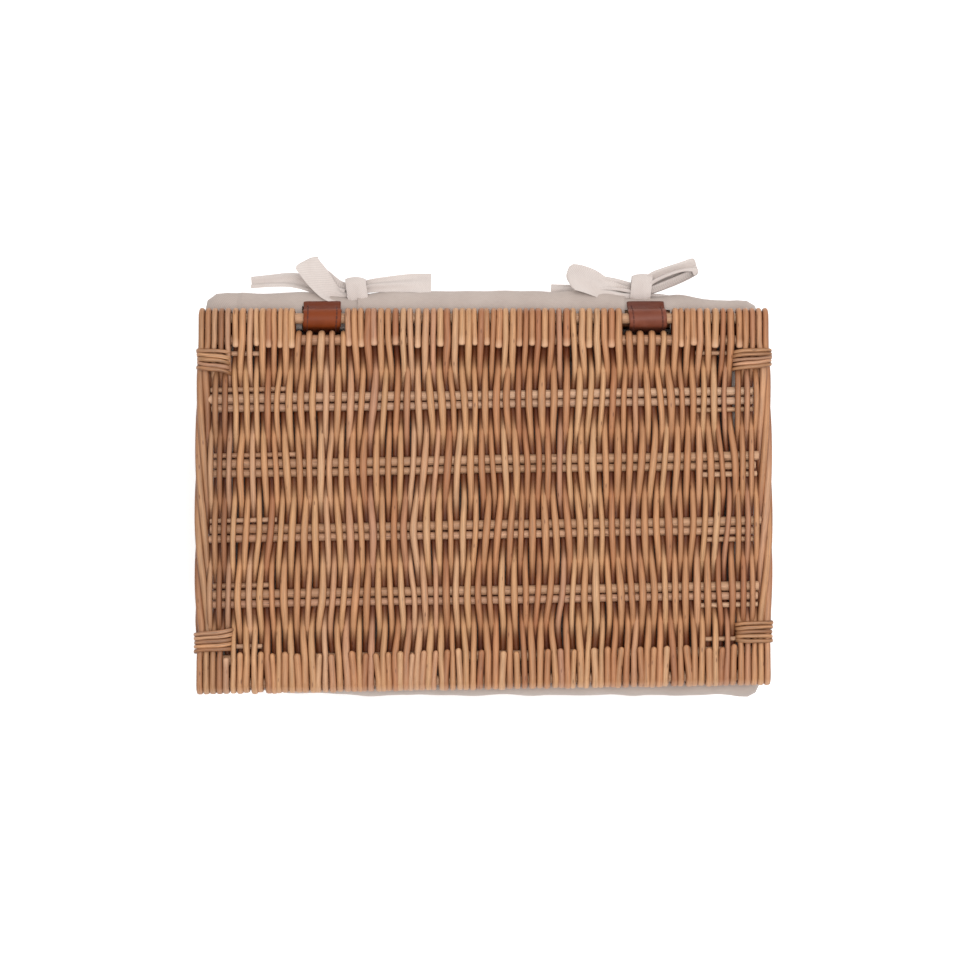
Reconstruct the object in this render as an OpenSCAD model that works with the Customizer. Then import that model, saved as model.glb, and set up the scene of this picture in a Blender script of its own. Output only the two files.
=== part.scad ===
// Rectangular willow hamper: a woven basket, a woven lid on two leather loops, and a tied cotton lining.
// Millimetres. Origin at the centre of the base's underside, +X right, +Y to the hinge side, +Z up.

/* [Lid] */
// Length of the lid over its end ties
lid_l = 450; // [430:1:480]
// Width of the lid over its two borders
lid_w = 300; // [286:1:320]
// Radius of the four edge sticks, one of which is the hinge pin
edge_stick_r = 4.2; // [3.8:0.1:4.4]
// Radius of the sticks that lie in pairs
pair_stick_r = 3.4; // [2.8:0.1:3.6]
// Thickness of a weaver where it turns round an edge stick
weaver_t = 4.2; // [4:0.1:4.6]
// Distance between the outer and the inner edge stick
edge_stick_gap = 17.1; // [16.8:0.1:18]
// Distance between one pair of sticks and the next
pair_pitch = 51.3; // [46:0.1:54]
// Width of the bundle of long rods at each end of the lid
bundle_w = 25; // [20:1:28]

/* [Basket] */
// Height with the lid shut
total_h = 220; // [180:1:280]
// Thickness of the woven walls
wall_t = 12; // [10:0.5:12.5]
// Width of the rolled rim
rim_w = 16; // [15.6:0.1:16.4]
// Height of the rolled rim
rim_h = 14; // [13:0.5:16]
// Distance between one pair of upright stakes and the next
stake_pitch = 43; // [43:0.5:45]
// Radius of an upright stake
stake_r = 2.8; // [2.2:0.1:2.8]
// Height of the foot and thickness of the base
base_h = 14; // [12:0.5:18]

/* [Hinges] */
// Width of a leather loop
strap_w = 30; // [22:1:30]
// Thickness of the doubled leather
strap_t = 3.4; // [2.8:0.1:3.4]
// Length of each gap in the back border of the lid
hinge_gap = 40; // [36:1:44]

/* [Lining] */
// Thickness of the hemmed cotton
cloth_t = 1.2; // [0.8:0.1:1.4]
// How far the cotton hangs down outside the rim
skirt_drop = 60; // [40:1:80]
// Width of the slits that let the leather loops through
slit_w = 42; // [40:1:46]

/* [Hidden] */
$fn = 48;

// Gap between pieces that lie against each other, and the slack of a stick in the weave
gap = 0.3;
slack = 0.2;
// Radial play of the hinge stick in the leather loops
hinge_play = 0.05;
// A cut runs this far past the face it opens
past = 1;

willow = "tan";
stick_brown = "rosybrown";
tie_brown = "peru";
leather = "sienna";
thread = "saddlebrown";
cotton = "linen";

// Lid: distances from its middle plane and its middle lines
border_r = edge_stick_r + weaver_t;
turn_r = border_r - 0.4;
weave_half = border_r - 0.8;
edge_y = lid_w / 2 - border_r;
inner_y = edge_y - edge_stick_gap;
weave_y = inner_y - edge_stick_r - 1.7;
pair_y = [for (i = [-1.5:1:1.5]) i * pair_pitch];
pair_half = pair_stick_r + 0.7;
lid_z = total_h - border_r;

// Lid: end bundles and the four ties round them
tie_t = 1.5;
bundle_out = lid_l / 2 - tie_t - gap;
bundle_in = bundle_out - bundle_w;
bundle_half = border_r - tie_t - 0.5;
bundle_past_stick = 5.2;
bundle_y = edge_y + bundle_past_stick;
weave_x = bundle_in - gap;
stick_x = bundle_out - 1;
tie_turns = 4;
tie_pitch = 4.1;
tie_band = 3.7;
tie_w = tie_pitch * tie_turns;
tie_y = pair_y[3] + 29.5;
tie_in = bundle_in - gap - tie_t;

// Lid: short packing sticks beside the pairs
packing_r = 2.2;
packing_l = 46;
packing_off = pair_half + pair_stick_r + packing_r + 1;

// Hinges: each loop passes between two pairs of stakes
hinge_x = 3 * stake_pitch;
loop_r = edge_stick_r + hinge_play;
strap_r = loop_r + strap_t;

// Basket: levels, from the lid down
cloth_top = lid_z - border_r - gap;
rim_top = cloth_top - cloth_t - gap;
rim_bottom = rim_top - rim_h;
wall_top = rim_bottom - gap;
wall_bottom = base_h + gap;
foot_z = 0.5;

// Basket: half lengths and half widths
rim_x = lid_l / 2 - 12;
rim_y = lid_w / 2 + 1;
post_x = rim_x - rim_w / 2;
post_y = rim_y - rim_w / 2;
rim_in_x = rim_x - rim_w;
rim_in_y = rim_y - rim_w;
post_r = wall_t / 2 - slack;
wall_end_x = post_x - post_r - gap;
wall_end_y = post_y - post_r - gap;
foot_w = wall_t + 1;
foot_in_x = post_x - foot_w / 2;
foot_in_y = post_y - foot_w / 2;
chamfer = 3;

// Basket: stakes and base sticks
stake_half = stake_r + 0.3;
stake_root = 4;
long_rows = [for (i = [-3.5:1:3.5]) i * stake_pitch];
short_rows = [for (i = [-2.5:1:2.5]) i * stake_pitch];
base_pitch = 52;
base_rows = [for (i = [-2:1:2]) i * base_pitch];
base_stick_r = 3;
base_edge_r = 4;
base_edge_y = foot_in_y - 8;

// Lining
bag_x = rim_in_x - gap;
bag_y = rim_in_y - gap;
skirt_x = rim_x + 0.4 + cloth_t;
skirt_y = rim_y + 0.4 + cloth_t;
skirt_bottom = cloth_top - skirt_drop;
slit_reach = 8;

// Bows of the lining's tapes, behind the rim
bow_top = cloth_top - 1;
knot_l = 24;
knot_y = skirt_y + 3.6;
knot_w = 16;
knot_drop = 18;
left_knot_x = -104;
right_knot_x = 122;

// Bow parts: reach along X from the knot's middle, span in Y behind the knot's front,
// depth below the bow's top
loop_depth = [14, 1];
tail_depth = [22, 6];
short_tail_depth = [14, 4];
left_loop_reach = 46;
left_loop_span = [10, 33];
left_tail_reach = [80, 63];
left_tail_span = [[1, 9], [2, 18]];
right_loop_reach = [56, 48];
right_loop_span = [[8, 29], [8, 27]];
right_tail_reach = [68, 34];
right_tail_span = [1, 7];

// A rectangle with its corners cut off, centred on the origin
module cut_corners(w, h, c)
  polygon([
    [-w / 2 + c, -h / 2], [w / 2 - c, -h / 2], [w / 2, -h / 2 + c], [w / 2, h / 2 - c],
    [w / 2 - c, h / 2], [-w / 2 + c, h / 2], [-w / 2, h / 2 - c], [-w / 2, -h / 2 + c]
  ]);

// Turns a flat outline in Y and Z into a bar from x0 to x1
module along_x(x0, x1)
  translate([x0, 0, 0]) rotate([90, 0, 90]) linear_extrude(x1 - x0) children();

// Turns a flat outline in X and Z into a bar from y0 to y1
module along_y(y0, y1)
  translate([0, y1, 0]) rotate([90, 0, 0]) linear_extrude(y1 - y0) children();

// A plain block between two corners
module block(low, high)
  translate(low) cube(high - low);

// A round rod or bore along X at a given Y and Z
module rod_x(x0, x1, y, z, r)
  translate([x0, y, z]) rotate([0, 90, 0]) cylinder(h = x1 - x0, r = r);

// Every stick of the lid as a solid, grown by extra, for its bores
module lid_bores(x0, x1) {
  for (y = [-edge_y, -inner_y, inner_y, edge_y]) rod_x(x0, x1, y, lid_z, edge_stick_r + slack);
  for (y = pair_y, s = [-1, 1]) rod_x(x0, x1, y + s * pair_half, lid_z, pair_stick_r + slack);
}

// The lid's middle panel: long weavers over and under the pairs of sticks
module lid_weave()
  color(willow) difference() {
    along_x(-weave_x, weave_x) translate([0, lid_z]) square([2 * weave_y, 2 * weave_half], center = true);
    lid_bores(-weave_x - past, weave_x + past);
    packing_rods(slack, past);
    for (sx = [-1, 1], sy = [-1, 1])
      translate([sx * (tie_in + tie_t + past), sy * tie_y, lid_z])
        cube([2 * (tie_t + past + gap), tie_w + gap, 3 * weave_half], center = true);
  }

// A border of weavers turned back round the two edge sticks, from x0 to x1; side is 1 at the back
module lid_border(side, x0, x1)
  color(willow) difference() {
    along_x(x0, x1) {
      translate([side * (weave_y + gap + edge_y) / 2, lid_z])
        square([edge_y - weave_y - gap, 2 * weave_half], center = true);
      translate([side * edge_y, lid_z]) circle(border_r);
    }
    lid_bores(x0 - past, x1 + past);
  }

// The few weavers that turn round the inner stick only, in the gap in front of a loop
module lid_gap_turns(x)
  color(willow) difference() {
    along_x(x - hinge_gap / 2 + gap, x + hinge_gap / 2 - gap) {
      translate([(weave_y + gap + inner_y) / 2, lid_z])
        square([inner_y - weave_y - gap, 2 * weave_half], center = true);
      difference() {
        translate([inner_y, lid_z]) circle(turn_r);
        translate([weave_y + gap - turn_r, lid_z]) square(2 * turn_r, center = true);
      }
    }
    lid_bores(x - hinge_gap, x + hinge_gap);
  }

// One of the four thick sticks at the lid's edges
module lid_edge_stick(y)
  color(stick_brown) rod_x(-stick_x, stick_x, y, lid_z, edge_stick_r);

// Two sticks side by side
module lid_stick_pair(y)
  color(stick_brown) for (s = [-1, 1]) rod_x(-stick_x, stick_x, y + s * pair_half, lid_z, pair_stick_r);

// Short rods pushed in beside the pairs: behind each pair at the left, in front at the right
module packing_rods(extra, run)
  for (y = pair_y, s = [-1, 1]) {
    x0 = s < 0 ? -weave_x - run : weave_x - packing_l;
    x1 = s < 0 ? -weave_x + packing_l : weave_x + run;
    rod_x(x0, x1, y - s * packing_off, lid_z, packing_r + extra);
  }

module lid_packing_sticks()
  color(willow) packing_rods(0, -gap);

// The bundle of long rods at one end of the lid; side is 1 at the right
module lid_end_bundle(side)
  color(willow) difference() {
    along_y(-bundle_y, bundle_y)
      translate([side * (bundle_in + bundle_out) / 2, lid_z])
        cut_corners(bundle_w, 2 * bundle_half, chamfer);
    lid_bores(min(side * bundle_in, side * bundle_out) - past,
              max(side * bundle_in, side * bundle_out) + past);
  }

// Four turns of split willow round an end bundle
module lid_tie(sx, sy)
  color(tie_brown) for (i = [0:tie_turns - 1]) {
    y = sy * tie_y + (i - (tie_turns - 1) / 2) * tie_pitch;
    along_y(y - tie_band / 2, y + tie_band / 2)
      translate([sx * (tie_in + lid_l / 2) / 2, lid_z]) difference() {
        cut_corners(lid_l / 2 - tie_in, 2 * (bundle_half + gap + tie_t), chamfer);
        cut_corners(lid_l / 2 - tie_in - 2 * tie_t, 2 * (bundle_half + gap), chamfer - 0.7);
      }
  }

// The rolled rim along the front and back
module rim_long(side)
  color(willow) along_x(-rim_x, rim_x)
    translate([side * post_y, (rim_top + rim_bottom) / 2]) cut_corners(rim_w, rim_h, chamfer);

// The rolled rim at the ends, between the long ones
module rim_short(side)
  color(willow) along_y(-rim_in_y + gap, rim_in_y - gap)
    translate([side * post_x, (rim_top + rim_bottom) / 2]) cut_corners(rim_w, rim_h, chamfer);

// Pairs of upright stakes along the front or back, grown by extra for their bores
module stakes_long(side, extra)
  for (x = long_rows, s = [-1, 1])
    translate([x + s * stake_half, side * post_y, stake_root])
      cylinder(h = wall_top - stake_root, r = stake_r + extra);

// Pairs of upright stakes at an end, grown by extra for their bores
module stakes_short(side, extra)
  for (y = short_rows, s = [-1, 1])
    translate([side * post_x, y + s * stake_half, stake_root])
      cylinder(h = wall_top - stake_root, r = stake_r + extra);

// The space that a leather loop needs under the rim
module strap_passages()
  for (s = [-1, 1])
    block([s * hinge_x - strap_w / 2 - 0.5, post_y - wall_t, strap_low - gap],
          [s * hinge_x + strap_w / 2 + 0.5, post_y + wall_t, wall_top + past]);

// Woven wall at the front or back, round its stakes
module wall_long(side)
  color(willow) difference() {
    block([-wall_end_x, side * post_y - wall_t / 2, wall_bottom],
          [wall_end_x, side * post_y + wall_t / 2, wall_top]);
    translate([0, 0, past]) stakes_long(side, slack);
    stakes_long(side, slack);
    if (side > 0) strap_passages();
  }

// Woven wall at an end, round its stakes
module wall_short(side)
  color(willow) difference() {
    block([side * post_x - wall_t / 2, -wall_end_y, wall_bottom],
          [side * post_x + wall_t / 2, wall_end_y, wall_top]);
    translate([0, 0, past]) stakes_short(side, slack);
    stakes_short(side, slack);
  }

module corner_post(sx, sy)
  color(stick_brown) translate([sx * post_x, sy * post_y, wall_bottom])
    cylinder(h = wall_top - wall_bottom, r = post_r);

// Thick woven foot at the front or back
module foot_long(side)
  color(willow) difference() {
    block([-post_x - foot_w / 2, side * post_y - foot_w / 2, foot_z],
          [post_x + foot_w / 2, side * post_y + foot_w / 2, base_h]);
    translate([0, 0, -gap]) stakes_long(side, slack);
  }

// Thick woven foot at an end
module foot_short(side)
  color(willow) difference() {
    block([side * post_x - foot_w / 2, -foot_in_y + gap, foot_z],
          [side * post_x + foot_w / 2, foot_in_y - gap, base_h]);
    translate([0, 0, -gap]) stakes_short(side, slack);
  }

// Sticks inside the base, grown by extra for their bores
module base_rods(extra, x_end)
  for (y = base_rows) rod_x(-x_end, x_end, y, base_h / 2, base_stick_r + extra);

module base_edge_rods(extra, x_end)
  for (s = [-1, 1]) rod_x(-x_end, x_end, s * base_edge_y, base_h / 2, base_edge_r + extra);

module base_weave()
  color(willow) difference() {
    block([-foot_in_x + gap, -foot_in_y + gap, 0], [foot_in_x - gap, foot_in_y - gap, base_h]);
    base_rods(slack, post_x);
    base_edge_rods(slack, post_x);
  }

module base_sticks()
  color(stick_brown) base_rods(0, foot_in_x - 1);

module base_edge_sticks()
  color(stick_brown) base_edge_rods(0, foot_in_x - 1);

// A leather loop seen from its end, about the hinge axis: round the hinge stick above, round the rim below
rim_front = rim_in_y - edge_y;
rim_back = rim_y - edge_y;
rim_under = rim_bottom - lid_z;
rim_shoulder = rim_top - lid_z - chamfer;
strap_low = rim_bottom - gap - strap_t;
strap_corner = 2.4;

// Outline of a loop with its straight runs moved out from the rim by d and its lower corners cut by c
module strap_outline(r, d, c) {
  circle(r);
  polygon([
    [-r + 1.1, 1], [rim_front - d, rim_shoulder], [rim_front - d, rim_under - d + c],
    [rim_front - d + c, rim_under - d], [rim_back + d - c, rim_under - d],
    [rim_back + d, rim_under - d + c], [rim_back + d, rim_shoulder], [r - 1.1, 1]
  ]);
}

module hinge_strap(x)
  color(leather) along_x(x - strap_w / 2, x + strap_w / 2)
    translate([edge_y, lid_z]) difference() {
      strap_outline(strap_r, gap + strap_t, strap_corner);
      strap_outline(loop_r, gap, strap_corner - 0.4);
    }

// Two rows of stitches over the top of a loop
stitch_inset = 3.6;
stitch_w = 0.8;
stitch_t = 0.5;
stitch_count = 5;
stitch_step = 28;
stitch_span = 18;
module hinge_stitching(x)
  color(thread) for (s = [-1, 1], i = [0:stitch_count - 1])
    translate([x + s * (strap_w / 2 - stitch_inset) - stitch_w / 2, edge_y, lid_z])
      rotate([90 - stitch_span / 2 + (i - (stitch_count - 1) / 2) * stitch_step, 0, 0])
        rotate([90, 0, 90]) rotate_extrude(angle = stitch_span)
          translate([strap_r + hinge_play, 0]) square([stitch_t, stitch_w]);

// Slits for the leather loops, cut through the cotton at the back
module hinge_slits(bottom)
  for (s = [-1, 1])
    block([s * hinge_x - slit_w / 2, bag_y - slit_reach, bottom],
          [s * hinge_x + slit_w / 2, skirt_y + past, total_h]);

// Cotton bag inside the basket
module lining_bag()
  color(cotton) difference() {
    block([-bag_x, -bag_y, wall_bottom], [bag_x, bag_y, rim_top]);
    block([-bag_x + cloth_t, -bag_y + cloth_t, wall_bottom + cloth_t],
          [bag_x - cloth_t, bag_y - cloth_t, total_h]);
    hinge_slits(strap_low - 2);
  }

// Cotton skirt over the rim and down outside it
module lining_skirt()
  color(cotton) difference() {
    block([-skirt_x, -skirt_y, skirt_bottom], [skirt_x, skirt_y, cloth_top]);
    block([-skirt_x + cloth_t, -skirt_y + cloth_t, skirt_bottom - past],
          [skirt_x - cloth_t, skirt_y - cloth_t, cloth_top - cloth_t]);
    block([-bag_x + cloth_t, -bag_y + cloth_t, skirt_bottom], [bag_x - cloth_t, bag_y - cloth_t, total_h]);
    hinge_slits(skirt_bottom - past);
  }

// A flat stretch of tape between two plan positions, thick enough to stand for its folds
module tape(x0, x1, y0, y1, z0, z1)
  color(cotton) translate([(x0 + x1) / 2, (y0 + y1) / 2, z0])
    linear_extrude(z1 - z0) cut_corners(x1 - x0, y1 - y0, 2);

// Knot of a bow, just behind the skirt
module tie_knot(x)
  tape(x - knot_l / 2, x + knot_l / 2, knot_y, knot_y + knot_w, bow_top - knot_drop, bow_top);

// A loop or tail beside a knot; side is 1 to the right of it
module bow_part(knot_x, side, reach, span, depth) {
  near = knot_x + side * (knot_l / 2 + gap);
  far = knot_x + side * reach;
  tape(min(near, far), max(near, far), knot_y + span[0], knot_y + span[1],
       bow_top - depth[0], bow_top - depth[1]);
}

module tie_left_loop()
  bow_part(left_knot_x, -1, left_loop_reach, left_loop_span, loop_depth);

module tie_left_tails() {
  bow_part(left_knot_x, -1, left_tail_reach[0], left_tail_span[0], tail_depth);
  bow_part(left_knot_x, 1, left_tail_reach[1], left_tail_span[1], short_tail_depth);
}

module tie_right_loops() {
  bow_part(right_knot_x, -1, right_loop_reach[0], right_loop_span[0], loop_depth);
  bow_part(right_knot_x, 1, right_loop_reach[1], right_loop_span[1], loop_depth);
}

module tie_right_tails() {
  bow_part(right_knot_x, -1, right_tail_reach[0], right_tail_span, tail_depth);
  bow_part(right_knot_x, 1, right_tail_reach[1], right_tail_span, tail_depth);
}

// The sides of the basket and of the lid, with their direction
ENDS = [["left", -1], ["right", 1]];
LONGS = [["front", -1], ["back", 1]];
gap_in = hinge_x - hinge_gap / 2;
gap_out = hinge_x + hinge_gap / 2;

lid_weave();
lid_border(-1, -weave_x, weave_x);  // lid_border_front
lid_border(1, -weave_x, -gap_out);  // lid_border_back_left
lid_border(1, -gap_in, gap_in);  // lid_border_back_middle
lid_border(1, gap_out, weave_x);  // lid_border_back_right
lid_edge_stick(edge_y);  // lid_hinge_stick
lid_edge_stick(inner_y);  // lid_back_inner_stick
lid_edge_stick(-inner_y);  // lid_front_inner_stick
lid_edge_stick(-edge_y);  // lid_front_outer_stick
for (i = [0:3]) lid_stick_pair(pair_y[i]);
lid_packing_sticks();
for (e = ENDS) {
  lid_gap_turns(e[1] * hinge_x);
  lid_end_bundle(e[1]);
  rim_short(e[1]);
  wall_short(e[1]);
  color(stick_brown) stakes_short(e[1], 0);
  foot_short(e[1]);
  hinge_strap(e[1] * hinge_x);
  hinge_stitching(e[1] * hinge_x);
}
for (s = LONGS) {
  rim_long(s[1]);
  wall_long(s[1]);
  color(stick_brown) stakes_long(s[1], 0);
  foot_long(s[1]);
}
for (s = LONGS, e = ENDS) {
  lid_tie(e[1], s[1]);
  corner_post(e[1], s[1]);
}
base_weave();
base_sticks();
base_edge_sticks();
lining_bag();
lining_skirt();
tie_knot(left_knot_x);  // tie_left_knot
tie_left_loop();
tie_left_tails();
tie_knot(right_knot_x);  // tie_right_knot
tie_right_loops();
tie_right_tails();
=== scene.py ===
"""Willow hamper: a woven lid on leather loops and a tied cotton lining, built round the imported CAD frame."""
import math

import bpy
import numpy as np
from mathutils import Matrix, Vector


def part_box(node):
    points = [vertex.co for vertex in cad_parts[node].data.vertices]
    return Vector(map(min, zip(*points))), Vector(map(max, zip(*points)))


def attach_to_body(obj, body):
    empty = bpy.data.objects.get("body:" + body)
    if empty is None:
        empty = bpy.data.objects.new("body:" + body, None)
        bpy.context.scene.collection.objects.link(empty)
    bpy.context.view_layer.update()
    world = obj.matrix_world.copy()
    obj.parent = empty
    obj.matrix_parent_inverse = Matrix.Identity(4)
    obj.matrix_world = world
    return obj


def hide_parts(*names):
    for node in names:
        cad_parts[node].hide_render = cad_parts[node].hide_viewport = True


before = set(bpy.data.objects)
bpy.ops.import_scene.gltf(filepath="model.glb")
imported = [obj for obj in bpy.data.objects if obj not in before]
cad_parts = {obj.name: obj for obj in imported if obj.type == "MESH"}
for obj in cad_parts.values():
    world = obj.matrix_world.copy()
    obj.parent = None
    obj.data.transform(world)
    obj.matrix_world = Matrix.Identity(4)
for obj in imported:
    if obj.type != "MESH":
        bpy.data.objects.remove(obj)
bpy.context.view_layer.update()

# ---------------- measures, in millimetres, from the CAD frame
MM = 1000.0
FULL_TURN = 6.28  # near enough a whole turn for ripples and random phases


def on_sides(name):
    """A CAD node's name on each of the basket's four sides."""
    return [f"{name}_{side}" for side in ("front", "back", "left", "right")]


def box_mm(node):
    """Lowest and highest corner of a CAD node, in millimetres."""
    low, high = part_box(node)
    return np.array(low) * MM, np.array(high) * MM


def middle_mm(node):
    low, high = box_mm(node)
    return (low + high) / 2


def half_mm(node):
    low, high = box_mm(node)
    return (high - low) / 2


LID_Z = middle_mm("lid_hinge_stick")[2]
EDGE_Y = middle_mm("lid_hinge_stick")[1]
EDGE_R = half_mm("lid_hinge_stick")[2]
STICK_X = half_mm("lid_hinge_stick")[0] - 3.5
FRONT_Y = EDGE_Y + 1.2
INNER_Y = middle_mm("lid_back_inner_stick")[1]
PAIR_Y = [middle_mm(f"lid_stick_pair_{i}")[1] for i in (1, 2, 3, 4)]
PAIR_R = half_mm("lid_stick_pair_1")[2]
WEAVE_X = half_mm("lid_weave")[0]
LID_X = box_mm("lid_tie_back_right")[1][0]
HINGE_X = middle_mm("hinge_strap_right")[0]
GAP_HALF = half_mm("lid_gap_turns_right")[0] + 0.3
TIE_Y = middle_mm("lid_tie_back_right")[1]
TIE_IN = box_mm("lid_tie_back_right")[0][0]
PACKING_R = half_mm("lid_packing_sticks")[2]
PACKING_OFF = box_mm("lid_packing_sticks")[1][1] - PACKING_R - PAIR_Y[3]
POST_X, POST_Y = middle_mm("corner_post_back_right")[:2]
POST_R = half_mm("corner_post_back_right")[0]
WALL_LOW, WALL_TOP = box_mm("wall_weave_back")[0][2], box_mm("wall_weave_back")[1][2]
RIM_LOW, RIM_TOP = box_mm("rim_border_back")[0][2], box_mm("rim_border_back")[1][2]
STAKE_R = half_mm("stakes_left")[0]
FOOT_LOW, FOOT_TOP = box_mm("foot_wale_front")[0][2], box_mm("foot_wale_front")[1][2]
BASE_X = half_mm("base_weave")[0]


# ---------------- rods
def smooth_line(knots, steps):
    """Points along a Catmull-Rom curve through the knots, with that many steps in each span."""
    knots = np.asarray(knots, float)
    ends = np.vstack([2 * knots[0] - knots[1], knots, 2 * knots[-1] - knots[-2]])
    t = np.arange(steps)[:, None] / steps
    spans = []
    for a, b, c, d in zip(ends[:-3], ends[1:-2], ends[2:-1], ends[3:]):
        spans.append(0.5 * (2 * b + (c - a) * t + (2 * a - 5 * b + 4 * c - d) * t**2
                            + (3 * b - a - 3 * c + d) * t**3))
    return np.vstack(spans + [knots[-1:]])


def unit(v):
    return v / np.maximum(np.linalg.norm(v, axis=-1, keepdims=True), 1e-9)


def arc_length(path):
    """How far along a line each of its points lies."""
    return np.concatenate([[0], np.cumsum(np.linalg.norm(np.diff(path, axis=0), axis=1))])


def smooth_step(t):
    return t * t * (3 - 2 * t)


def add_object(name, data):
    obj = bpy.data.objects.new(name, data)
    bpy.context.scene.collection.objects.link(obj)
    return obj


def add_attribute(mesh, name, kind, field, values):
    mesh.attributes.new(name, kind, "POINT").data.foreach_set(field, values.ravel())


def attach(obj, material, body, nodes):
    """Gives a piece its material, ties it to its body, and hides the CAD nodes it stands for."""
    obj.data.materials.append(material)
    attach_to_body(obj, body)
    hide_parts(*nodes)
    return obj


ACROSS = np.array([1.0, 0.0, 0.0])
ALONG = np.array([0.0, 1.0, 0.0])
SKEW = 0.0165


def out_of_square(points):
    """The lid is woven a little out of square: its front edge and its sticks climb to the right, and its
    hinged border stays straight."""
    share = np.clip((INNER_Y - EDGE_R - points[:, 1]) / (INNER_Y - EDGE_R - PAIR_Y[3]), 0, 1)
    return points + (share * (0.2 + SKEW * points[:, 0]))[:, None] * ALONG


class Rods:
    """Gathers rods and makes one mesh of them. Each vertex knows its rod's tone, its place in the grain, and
    how open to the light it is."""

    END_RINGS = {"round": [(0.45, 0.88), (0.8, 0.6), (0.97, 0.25)], "cut": [(0.12, 0.8)],
                 "dome": [(0.35, 0.95), (0.65, 0.74), (0.82, 0.4)]}

    def __init__(self, seed, side_light=0.45):
        self.rng = np.random.default_rng(seed)
        self.side_light = side_light
        self.verts, self.grain, self.tone, self.open = [], [], [], []
        self.corners, self.starts, self.smooth = [], [], []
        self.n_verts = self.n_corners = 0

    def faces(self, quads, smooth=True):
        """Adds faces given as an array of vertex numbers, one row each."""
        self.corners.append(quads.ravel())
        self.starts.append(self.n_corners + np.arange(len(quads)) * quads.shape[1])
        self.smooth.append(np.full(len(quads), smooth))
        self.n_corners += quads.size

    def add(self, path, wide, thick, side, sides=8, ends=("cut", "cut"), closed=False, light=1.0, below=None,
            worn=0.0, square=1.0):
        """Sweeps an oval along path: half width wide along side, half thickness thick across it. light says
        how open each point is to the light, which is painted into the colour as shade, and below says it for
        the under side if that differs. The argument after below says how creased it is, so how squared it is
        and how much highlight is painted on. square below 1 fills out all corners."""
        path = np.asarray(path, float)
        below = light if below is None else below
        wide, thick, light, below, worn = (
            np.broadcast_to(np.asarray(v, float), len(path)) for v in (wide, thick, light, below, worn))
        tone = self.rng.random(3)
        if closed:
            tangent = unit(np.roll(path, -1, 0) - np.roll(path, 1, 0))
        else:
            tangent = unit(np.gradient(path, axis=0))
        side = np.broadcast_to(np.asarray(side, float), path.shape)
        if not closed:
            path, wide, thick, light, below, worn, side, tangent = self.with_ends(
                [path, wide, thick, light, below, worn, side, tangent], ends)
        u = unit(side - (side * tangent).sum(1, keepdims=True) * tangent)
        v = np.cross(tangent, u)
        angle = np.arange(sides) * 2 * math.pi / sides
        square = square * (1 - 0.5 * worn[:, None])
        cu, cv = ((np.sign(f) * np.abs(f) ** square)[:, :, None] for f in (np.cos(angle), np.sin(angle)))
        ring = path[:, None] + u[:, None] * wide[:, None, None] * cu + v[:, None] * thick[:, None, None] * cv
        grain = np.empty(ring.shape)
        grain[..., 0] = arc_length(path)[:, None]
        grain[..., 1] = wide[:, None] * cu[..., 0]
        grain[..., 2] = thick[:, None] * cv[..., 0]
        grain += self.rng.random(3) * (900.0, 50.0, 50.0)
        n = len(path)
        number = self.n_verts + np.arange(n * sides).reshape(n, sides)
        after = np.roll(number, -1, axis=1)
        rows = np.arange(n) if closed else np.arange(n - 1)
        nxt = (rows + 1) % n
        self.faces(np.stack([number[rows], after[rows], after[nxt], number[nxt]], -1).reshape(-1, 4))
        colour = np.empty((n, sides, 4))
        colour[..., :3] = tone
        # alpha: how pale the colour goes, a painted highlight where the rod is creased
        colour[..., 3] = worn[:, None]
        if not closed:
            self.faces(number[:1, ::-1], smooth=ends[0] != "cut")
            self.faces(number[-1:], smooth=ends[1] != "cut")
            # cut and domed ends are paler: partly their own cut wood, partly a painted highlight
            if ends[0] != "round":
                colour[:len(self.END_RINGS[ends[0]]) + 1, :, 3] = 1.0
            if ends[1] != "round":
                colour[-len(self.END_RINGS[ends[1]]) - 1:, :, 3] = 1.0
        self.verts.append(ring.reshape(-1, 3))
        self.grain.append(grain.reshape(-1, 3))
        self.tone.append(colour.reshape(-1, 4))
        # painted shade: a rod's sides are darker than its crown, and its under side may be darker than its top
        crown = self.side_light + (1 - self.side_light) * np.abs(np.sin(angle)) ** 1.2
        lit = np.where(ring[..., 2] >= path[:, None, 2], light[:, None], below[:, None])
        self.open.append((lit * crown[None, :]).ravel())
        self.n_verts += n * sides

    def with_ends(self, arrays, ends):
        """Adds rings past each end: a full dome on a round one, a low dome or a small bevel on a cut one.
        arrays starts with the path and the two half sizes, and ends with the tangent."""
        for at, sign in ((0, -1), (-1, 1)):
            root = [a[at].copy() for a in arrays]
            radius = (root[1] + root[2]) / 2
            for reach, scale in self.END_RINGS[ends[at]]:
                ring = [root[0] + sign * root[-1] * radius * reach,
                        root[1] * scale, root[2] * scale, *root[3:]]
                arrays = [np.insert(a, 0 if at == 0 else len(a), v, axis=0) for a, v in zip(arrays, ring)]
        return arrays

    def piece(self, name, material, body, slot, nodes):
        """Makes the object, in metres, riding on its body."""
        mesh = bpy.data.meshes.new(name)
        verts = np.vstack(self.verts)
        verts = (out_of_square(verts) if body == "lid" else verts) / MM
        corners, starts = np.concatenate(self.corners), np.concatenate(self.starts)
        mesh.vertices.add(len(verts))
        mesh.vertices.foreach_set("co", verts.ravel())
        mesh.loops.add(len(corners))
        mesh.loops.foreach_set("vertex_index", corners.astype(np.int32))
        mesh.polygons.add(len(starts))
        mesh.polygons.foreach_set("loop_start", starts.astype(np.int32))
        mesh.polygons.foreach_set("use_smooth", np.concatenate(self.smooth))
        mesh.update(calc_edges=True)
        add_attribute(mesh, "grain", "FLOAT_VECTOR", "vector", np.vstack(self.grain))
        add_attribute(mesh, "tone", "FLOAT_COLOR", "color", np.vstack(self.tone))
        add_attribute(mesh, "open", "FLOAT", "value", np.concatenate(self.open))
        attach(add_object(name, mesh), material, body, nodes)


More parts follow.
